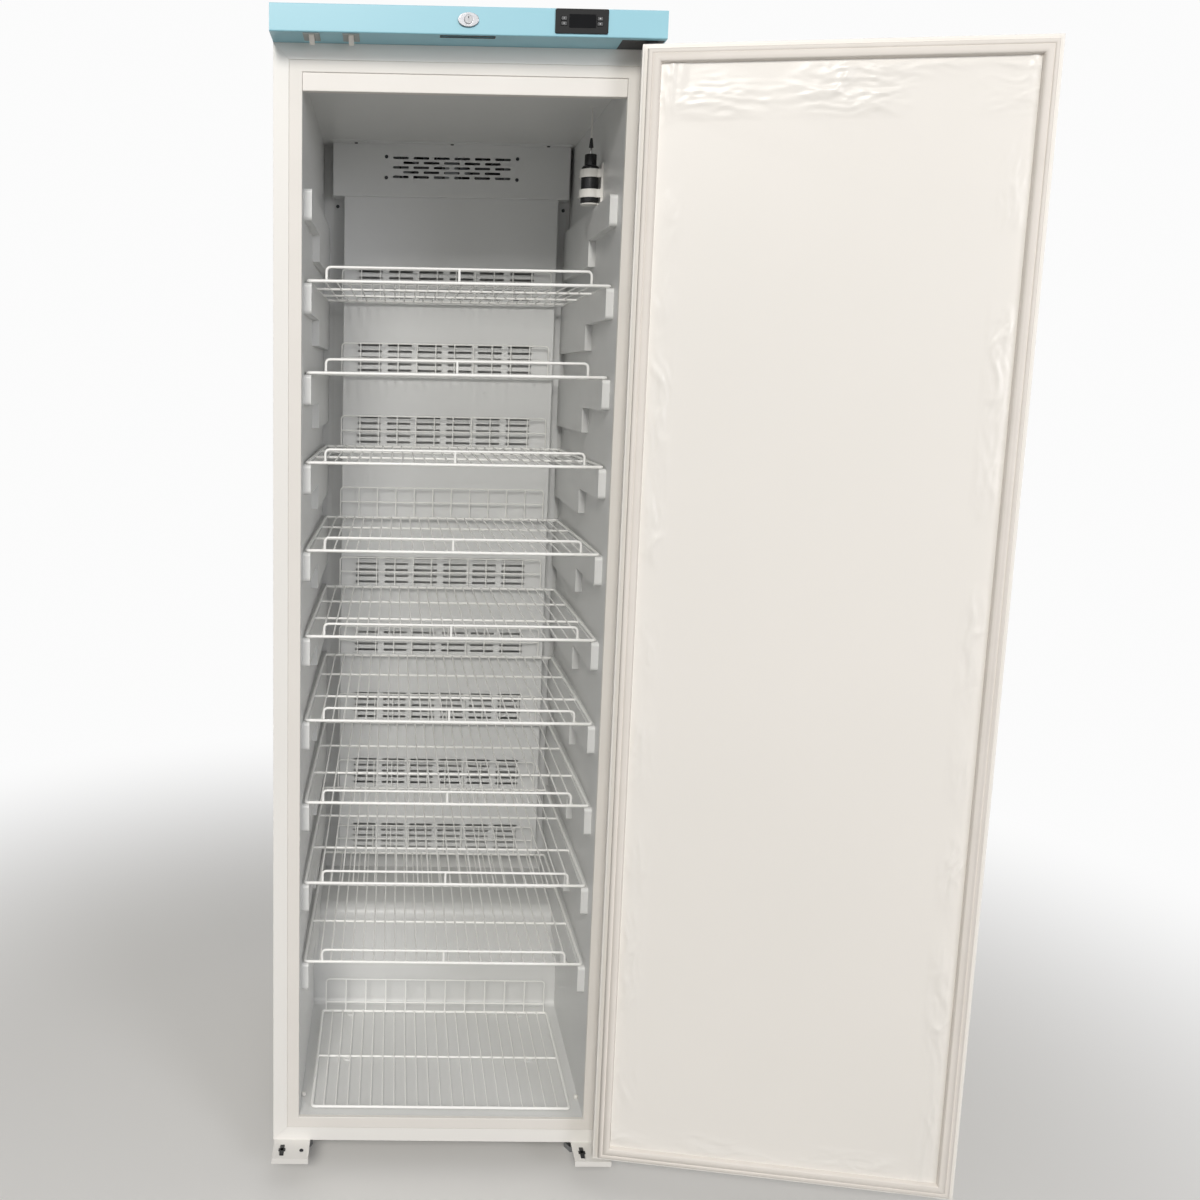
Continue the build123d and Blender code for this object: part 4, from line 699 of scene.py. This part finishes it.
def creaseHeight(look, along, across, room, reach):
    # ridges follow the zero lines of a noise that is stretched along the border
    if room <= 0 or room >= reach:
        return 0
    fade = min(1, room / look["edgeFade"]) * min(1, 2 * (reach - room) / reach)
    clump = noise.noise((along / look["patch"], across / look["patch"], look["patchSeed"]))
    patch = min(1, max(0, look["patchBase"] + look["patchGain"] * clump))
    drift = look["drift"] * noise.noise((along / look["driftLong"], across / look["driftAcross"], look["driftSeed"]))
    ridge = 0
    for share, size, seed in look["layers"]:
        value = noise.noise((along / (look["longCrease"] * size) + drift * 0.3,
                             across / (look["crease"] * size) + drift, seed))
        ridge += share * max(0, 1 - abs(value) * look["sharpness"])
    swell = 0.5 + noise.noise((along / look["longCrease"], across / (2 * look["crease"]), look["swellSeed"]))
    return look["height"] * fade * patch * (ridge + look["swell"] * swell)


def makeFilm(look):
    inset = gasketLook["margin"] + gasketLook["width"]
    half = doorLook["panelHalf"] - inset
    low, high = doorLook["panelLow"] + inset, doorLook["panelHigh"] - inset
    deselectAll()
    bpy.ops.mesh.primitive_grid_add(x_subdivisions=int(2 * half / look["step"]),
                                    y_subdivisions=int((high - low) / look["step"]), size=1,
                                    location=(0, doorLook["inside"] + look["standOff"], (low + high) / 2),
                                    rotation=(-math.pi / 2, 0, 0))
    bpy.context.active_object.scale = (2 * half, high - low, 1)
    film = settle("doorFilm")
    flat = doorLook["inside"] + look["standOff"]
    for vertex in film.data.vertices:
        x, z = vertex.co.x, vertex.co.z
        top = creaseHeight(look, x, z, high - z, look["topReach"])
        bottom = creaseHeight(look, x + 3, z, z - low, look["sideReach"])  # moved on, so it isn't like the top
        side = creaseHeight(look, z, x, half - abs(x), look["sideReach"])
        vertex.co.y = flat + max(top, look["sideShare"] * max(bottom, side))
    pick(film, "FACE", lambda f: all(abs(v.co.y - flat) < mm / 1000 for v in f.verts))
    bpy.ops.mesh.dissolve_faces()
    leaveEdit()
    return film


film = makeFilm(filmLook)
openDoor(film)
smooth(film, 80)
handOver(film, "door", "door_panel_plastic", finish=clearFilm)
print("door ready")


# Softened copies: the CAD shape with its sharp edges rolled over
def softenedCopy(name, node, width):
    piece = bpy.data.objects.new(name, nodes[node].data.copy())
    bpy.context.scene.collection.objects.link(piece)
    makeActive(piece)
    if piece.data.has_custom_normals:
        bpy.ops.mesh.customdata_custom_splitnormals_clear()
    bpy.ops.object.mode_set(mode="EDIT")
    bpy.ops.mesh.select_all(action="SELECT")
    bpy.ops.mesh.remove_doubles(threshold=mm / 100)
    bpy.ops.mesh.dissolve_limited(angle_limit=math.radians(1))
    leaveEdit()
    soften(piece, width)
    smoothFlat(piece)
    return piece


softened = {
    "controller_housing": ("cabinet", "controller_plastic", 0.7 * mm),
    "controller_lens": ("cabinet", "display_glass", 0.3 * mm),
    "lock_escutcheon": ("cabinet", "lock_chrome", 0.9 * mm),
    "light_bar": ("cabinet", "light_bar_plastic", 0.8 * mm),
    "header_cover": ("cabinet", "header_paint", 0.4 * mm),
    "liner_walls": ("cabinet", "liner_plastic", 1.4 * mm),
    "door_inner_panel": ("door", "door_panel_plastic", 0.5 * mm),
    "side_panels": ("cabinet", "casing_paint", 0.9 * mm),
    "top_panel": ("cabinet", "casing_paint", 0.9 * mm),
    "switch_housings": ("cabinet", "switch_grey_plastic", 0.3 * mm),
}
pocketLook = {"half": 42 * mm, "front": 2 * mm, "back": 17.8 * mm, "foot": 1 * mm, "top": 17 * mm}


def darkenPocket(header, look):
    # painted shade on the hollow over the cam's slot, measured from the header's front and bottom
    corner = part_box("header_cover")[0]
    paintFaces(header, "header_paint", pocketShade, lambda face: (
        abs(face.center.x) < look["half"] and look["front"] < face.center.y - corner.y < look["back"]
        and look["foot"] < face.center.z - corner.z < look["top"]))


for node, (body, slot, width) in softened.items():
    name = "".join(word.capitalize() for word in node.split("_"))
    piece = softenedCopy("soft" + name, node, width)
    if node == "header_cover":
        darkenPocket(piece, pocketLook)
    handOver(piece, body, slot, node)
print("edges softened")

# Guard round the slot that the lock's cam turns in
guardLook = {"width": 84 * mm, "depth": 12 * mm, "sheet": 0.5 * mm, "slotWidth": 80 * mm, "slotDepth": 5.4 * mm,
             "camHalf": 1.5 * mm, "soft": 0.2 * mm}


def makeGuard(look):
    # centred under the lock and the cam, against the header's sheet
    lockLow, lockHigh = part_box("lock_escutcheon")
    x = (lockLow.x + lockHigh.x) / 2
    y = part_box("lock_cam")[1].y - look["camHalf"]
    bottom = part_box("header_cover")[0].z
    guard = startBox("camSlotGuard", (x - look["width"] / 2, y - look["depth"] / 2, bottom - look["sheet"]),
                     (x + look["width"] / 2, y + look["depth"] / 2, bottom))
    cutOut(guard, startBox("opening", (x - look["slotWidth"] / 2, y - look["slotDepth"] / 2, bottom - mm),
                           (x + look["slotWidth"] / 2, y + look["slotDepth"] / 2, bottom + mm)))
    soften(guard, look["soft"])
    return guard


guard = makeGuard(guardLook)
smoothFlat(guard)
handOver(guard, "cabinet", "black_plastic")

# Breaker: one formed frame between casing and liner
breakerLook = {"soft": 1.2 * mm, "sides": 21 * mm, "top": 18.5 * mm, "bottom": 20 * mm}


def makeBreaker(look):
    low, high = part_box("breaker_frame")
    breaker = startBox("breakerFrame", low, high)
    cutOut(breaker, startBox("opening", (low.x + look["sides"], low.y - mm, low.z + look["bottom"]),
                             (high.x - look["sides"], high.y + mm, high.z - look["top"])))
    soften(breaker, look["soft"], 3)
    return breaker


breaker = makeBreaker(breakerLook)
smoothFlat(breaker)
handOver(breaker, "cabinet", "breaker_plastic", "breaker_frame")

# Hinge plates: black painted shade on the upper one, white below with plugs in their slots and a screw beside the left
# one
hingeLook = {"soft": 0.5 * mm, "split": 1.0, "plugs": ((-281.7 * mm, -28 * mm), (249.5 * mm, -28 * mm)),
             "plugWidth": 7 * mm, "plugDepth": 25 * mm, "plugArm": 12 * mm, "plugProud": 1.6 * mm,
             "plugSunk": 3 * mm, "plugSoft": 0.6 * mm, "hole": (-247.4 * mm, -29 * mm)}


def splitBrackets(look):
    plates = []
    for name, keepsUpper in (("upperHingePlate", True), ("lowerHingePlates", False)):
        plate = softenedCopy(name, "hinge_brackets", look["soft"])
        pick(plate, "VERT", lambda v: (v.co.z > look["split"]) != keepsUpper)
        bpy.ops.mesh.delete(type="VERT")
        leaveEdit()
        plates.append(plate)
    return plates


def makePlugs(look, top):
    plugs = []
    for x, y in look["plugs"]:
        for wide, deep in ((look["plugWidth"], look["plugDepth"]), (look["plugArm"], look["plugWidth"])):
            plugs.append(startBox("plug", (x - wide / 2, y - deep / 2, top - look["plugSunk"]),
                                  (x + wide / 2, y + deep / 2, top + look["plugProud"])))
    group = joinPieces("slotPlugs", plugs)
    soften(group, look["plugSoft"])
    return group


upperPlate, lowerPlates = splitBrackets(hingeLook)
# the upper plate wears black painted shade
handOver(upperPlate, "cabinet", "bracket_steel", "hinge_brackets", finish=hingeShade)
handOver(lowerPlates, "cabinet", "bracket_steel", "hinge_brackets")
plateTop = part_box("side_panels")[0].z
plugs = makePlugs(hingeLook, plateTop)
smooth(plugs)
handOver(plugs, "cabinet", "black_plastic")
plateScrew = placeScrews("plateScrew", [(*hingeLook["hole"], plateTop)], Matrix.Rotation(-math.pi / 2, 4, "X"))
handOver(plateScrew, "cabinet", "bracket_steel", finish=screwSteel)
print("hinge plates ready")

# Bottle with the probe through its cap
bottleLook = {"body": 64 * mm, "neckLap": 1 * mm, "shoulder": 5 * mm, "heel": 2 * mm,
              "capRadius": 10.4 * mm, "ribs": 24, "ribWaist": 0.965, "capSoft": 1.2 * mm}
probeLook = {"stem": 2 * mm, "stemTop": 11.5 * mm, "stemSoft": 0.3 * mm, "cone": 16 * mm, "coneFoot": 4.2 * mm,
             "coneTop": 2 * mm, "coneSoft": 0.5 * mm, "lead": 1.1 * mm, "leadSoft": 0.2 * mm}


def makeBottle(look):
    low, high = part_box("sample_bottle")
    x, y = (low.x + high.x) / 2, (low.y + high.y) / 2
    radius = (high.x - low.x) / 2
    shoulderZ = low.z + look["body"]
    body = startRod("bottleBody", (x, y, low.z), (x, y, shoulderZ), radius, 40)
    pick(body, "FACE", lambda f: f.normal.z > 0.5)
    bpy.ops.mesh.inset(thickness=radius - look["capRadius"] + look["neckLap"], depth=0)
    leaveEdit()
    pick(body, "EDGE", lambda e: middle(e).z > shoulderZ - mm / 10 and (middle(e).xy - Vector((x, y))).length
         > radius * 0.9)
    bpy.ops.mesh.bevel(offset=look["shoulder"], segments=5)
    leaveEdit()
    pick(body, "EDGE", lambda e: middle(e).z < low.z + mm / 10)
    bpy.ops.mesh.bevel(offset=look["heel"], segments=3)
    leaveEdit()
    cap = startRod("bottleCap", (x, y, shoulderZ), (x, y, high.z), look["capRadius"], 2 * look["ribs"])
    pick(cap, "VERT", lambda v: round((v.co.xy - Vector((x, y))).angle_signed(Vector((1, 0)), 0)
                                      / math.tau * 2 * look["ribs"]) % 2 == 0)
    bpy.ops.transform.resize(value=(look["ribWaist"], look["ribWaist"], 1), center_override=(x, y, shoulderZ))
    leaveEdit()
    pick(cap, "EDGE", lambda e: middle(e).z > high.z - mm / 10)
    bpy.ops.mesh.bevel(offset=look["capSoft"], segments=3)
    leaveEdit()
    return joinPieces("sampleBottle", [body, cap])


def makeProbe(look):
    low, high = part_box("temperature_probe")
    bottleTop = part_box("sample_bottle")[1].z
    x, y = (low.x + high.x) / 2, (low.y + high.y) / 2
    stemTop = bottleTop + look["stemTop"]
    stem = startRod("probeStem", (x, y, low.z), (x, y, stemTop), look["stem"], 20)
    soften(stem, look["stemSoft"])
    cone = startRod("probeCone", (x, y, stemTop), (x, y, stemTop + look["cone"]), look["coneFoot"], 24)
    pick(cone, "FACE", lambda f: f.normal.z > 0.5)
    share = look["coneTop"] / look["coneFoot"]
    bpy.ops.transform.resize(value=(share, share, 1))
    leaveEdit()
    soften(cone, look["coneSoft"], 3)
    lead = startRod("probeLead", (x, y, stemTop + look["cone"]), (x, y, high.z), look["lead"], 12)
    soften(lead, look["leadSoft"])
    return stem, cone, lead


bottle = makeBottle(bottleLook)
smooth(bottle, 50)
handOver(bottle, "cabinet", "bottle_plastic", "sample_bottle")
stem, cone, lead = makeProbe(probeLook)
for piece, slot in ((stem, "probe_steel"), (cone, "black_plastic"), (lead, "white_plastic")):
    smooth(piece, 50)
    handOver(piece, "cabinet", slot, "temperature_probe")
holder = softenedCopy("bottleHolder", "bottle_holder", 0.5 * mm)
handOver(holder, "cabinet", "white_plastic", "bottle_holder")
print("bottle ready")

# Marks on the four controller buttons: an arrow up, an arrow down, a dot and a diamond
markLook = {"sides": (3, 3, 12, 4), "size": 2.2 * mm, "proud": 0.12 * mm, "soft": 0.05 * mm}


def makeMark(number, look):
    low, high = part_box(f"button_{number}")
    centre = Vector(((low.x + high.x) / 2, low.y, (low.z + high.z) / 2))
    deselectAll()
    bpy.ops.mesh.primitive_cylinder_add(vertices=look["sides"][number - 1], radius=look["size"] / 2,
                                        depth=2 * look["proud"], location=centre,
                                        rotation=(math.pi / 2, 0 if number == 1 else math.pi, 0))
    mark = settle(f"buttonMark{number}")
    soften(mark, look["soft"], 1)
    return mark


for number in range(1, 5):
    handOver(makeMark(number, markLook), f"button_{number}", "button_plastic", finish=markPaint)
print("button marks ready")

# Moulded stops on the cavity floor, beside the front corners of the grid
stopLook = {"reach": 250.5 * mm, "setback": 61 * mm, "radius": 3.8 * mm, "height": 7 * mm, "soft": 2 * mm}


def makeStops(look):
    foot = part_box("breaker_frame")[0].z + breakerLook["bottom"]
    stops = [startRod("gridStop", (x, look["setback"], foot), (x, look["setback"], foot + look["height"]),
                      look["radius"], 20) for x in (-look["reach"], look["reach"])]
    for stop in stops:
        soften(stop, look["soft"], 4)
    return joinPieces("gridStops", stops)


stops = makeStops(stopLook)
smooth(stops, 50)
handOver(stops, "cabinet", "white_plastic")
print("grid stops ready")

# Floor and light
stageLook = {
    "floor": "#ECEBE8", "floorBounce": "#9C9B98",  # as seen, and as it lights the fridge from below
    "floorSize": 60, "floorRoughness": 0.9, "ambient": 0.30, "ambientColour": "#F6F6F8", "white": 0.97,
    "fadeStart": 0.9, "fadeEnd": 2.6,
}
lampLook = {
    "keyLamp": {"place": (-1.6, -10.0, 7.0), "aim": (0.1, 0.1, 0.9), "size": 3.6, "power": 775, "colour": "#FFFCF7"},
    "fillLamp": {"place": (3.6, -5.0, 2.5), "aim": (0.0, 0.2, 0.7), "size": 2.4, "power": 88, "colour": "#FAFAFF"},
    "topLamp": {"place": (0.3, -0.9, 3.7), "aim": (0.2, -0.1, 0), "size": 2.5, "power": 6, "colour": "#FFFFFF"},
}


def seenDirectly(tree):
    # 1 for rays from the camera, or by way of a mirror or glass
    path = addNode(tree, "ShaderNodeLightPath")
    seen = addNode(tree, "ShaderNodeMath", {"operation": "MAXIMUM"},
                   {0: path.outputs["Is Camera Ray"], 1: path.outputs["Is Glossy Ray"]})
    return addNode(tree, "ShaderNodeMath", {"operation": "MAXIMUM"},
                   {0: seen.outputs[0], 1: path.outputs["Is Transmission Ray"]}).outputs[0]


def makeStage(look):
    deselectAll()
    bpy.ops.mesh.primitive_plane_add(size=look["floorSize"], location=(0, 0, 0))
    floor = settle("floor")
    paint = bpy.data.materials.new("paleFloor")  # matt pale floor that fades into the white room
    paint.use_nodes = True
    paint.node_tree.nodes.clear()
    place = addNode(paint, "ShaderNodeTexCoord").outputs["Object"]
    away = addNode(paint, "ShaderNodeVectorMath", {"operation": "LENGTH"}, {0: place}).outputs["Value"]
    fade = addNode(paint, "ShaderNodeMapRange", {"interpolation_type": "SMOOTHSTEP", "From Min": look["fadeStart"],
                                                 "From Max": look["fadeEnd"]}, {"Value": away}).outputs[0]
    share = addNode(paint, "ShaderNodeMath", {"operation": "MULTIPLY"}, {0: fade, 1: seenDirectly(paint)}).outputs[0]
    tone = addNode(paint, "ShaderNodeMix", {"data_type": "RGBA", 6: linearColour(look["floorBounce"]),
                                            7: linearColour(look["floor"])}, {0: seenDirectly(paint)})
    matt = addNode(paint, "ShaderNodeBsdfPrincipled", {"Roughness": look["floorRoughness"]},
                   {"Base Color": tone.outputs[2]})
    white = addNode(paint, "ShaderNodeEmission", {"Strength": look["white"]})
    mixed = addNode(paint, "ShaderNodeMixShader", links={0: share, 1: matt.outputs[0], 2: white.outputs[0]})
    addNode(paint, "ShaderNodeOutputMaterial", links={"Surface": mixed.outputs[0]})
    floor.data.materials.append(paint)
    world = bpy.data.worlds.new("paleRoom")
    bpy.context.scene.world = world
    world.use_nodes = True
    world.node_tree.nodes.clear()
    around = addNode(world, "ShaderNodeBackground", {"Color": linearColour(look["ambientColour"]),
                                                     "Strength": look["ambient"]})
    room = addNode(world, "ShaderNodeBackground", {"Color": (1, 1, 1, 1), "Strength": look["white"]})
    both = addNode(world, "ShaderNodeMixShader", links={0: seenDirectly(world), 1: around.outputs[0],
                                                        2: room.outputs[0]})
    addNode(world, "ShaderNodeOutputWorld", links={"Surface": both.outputs[0]})


def makeLamp(name, look):
    data = bpy.data.lights.new(name, "AREA")
    data.shape = "DISK"
    data.size = look["size"]
    data.energy = look["power"]
    data.color = linearColour(look["colour"])[:3]
    lamp = bpy.data.objects.new(name, data)
    bpy.context.scene.collection.objects.link(lamp)
    aim = Vector(look["aim"]) - Vector(look["place"])
    lamp.matrix_world = Matrix.Translation(look["place"]) @ aim.to_track_quat("-Z", "Y").to_matrix().to_4x4()


makeStage(stageLook)
for name, look in lampLook.items():
    makeLamp(name, look)
bpy.data.objects.remove(screwModel)
print("stage and lamps ready")
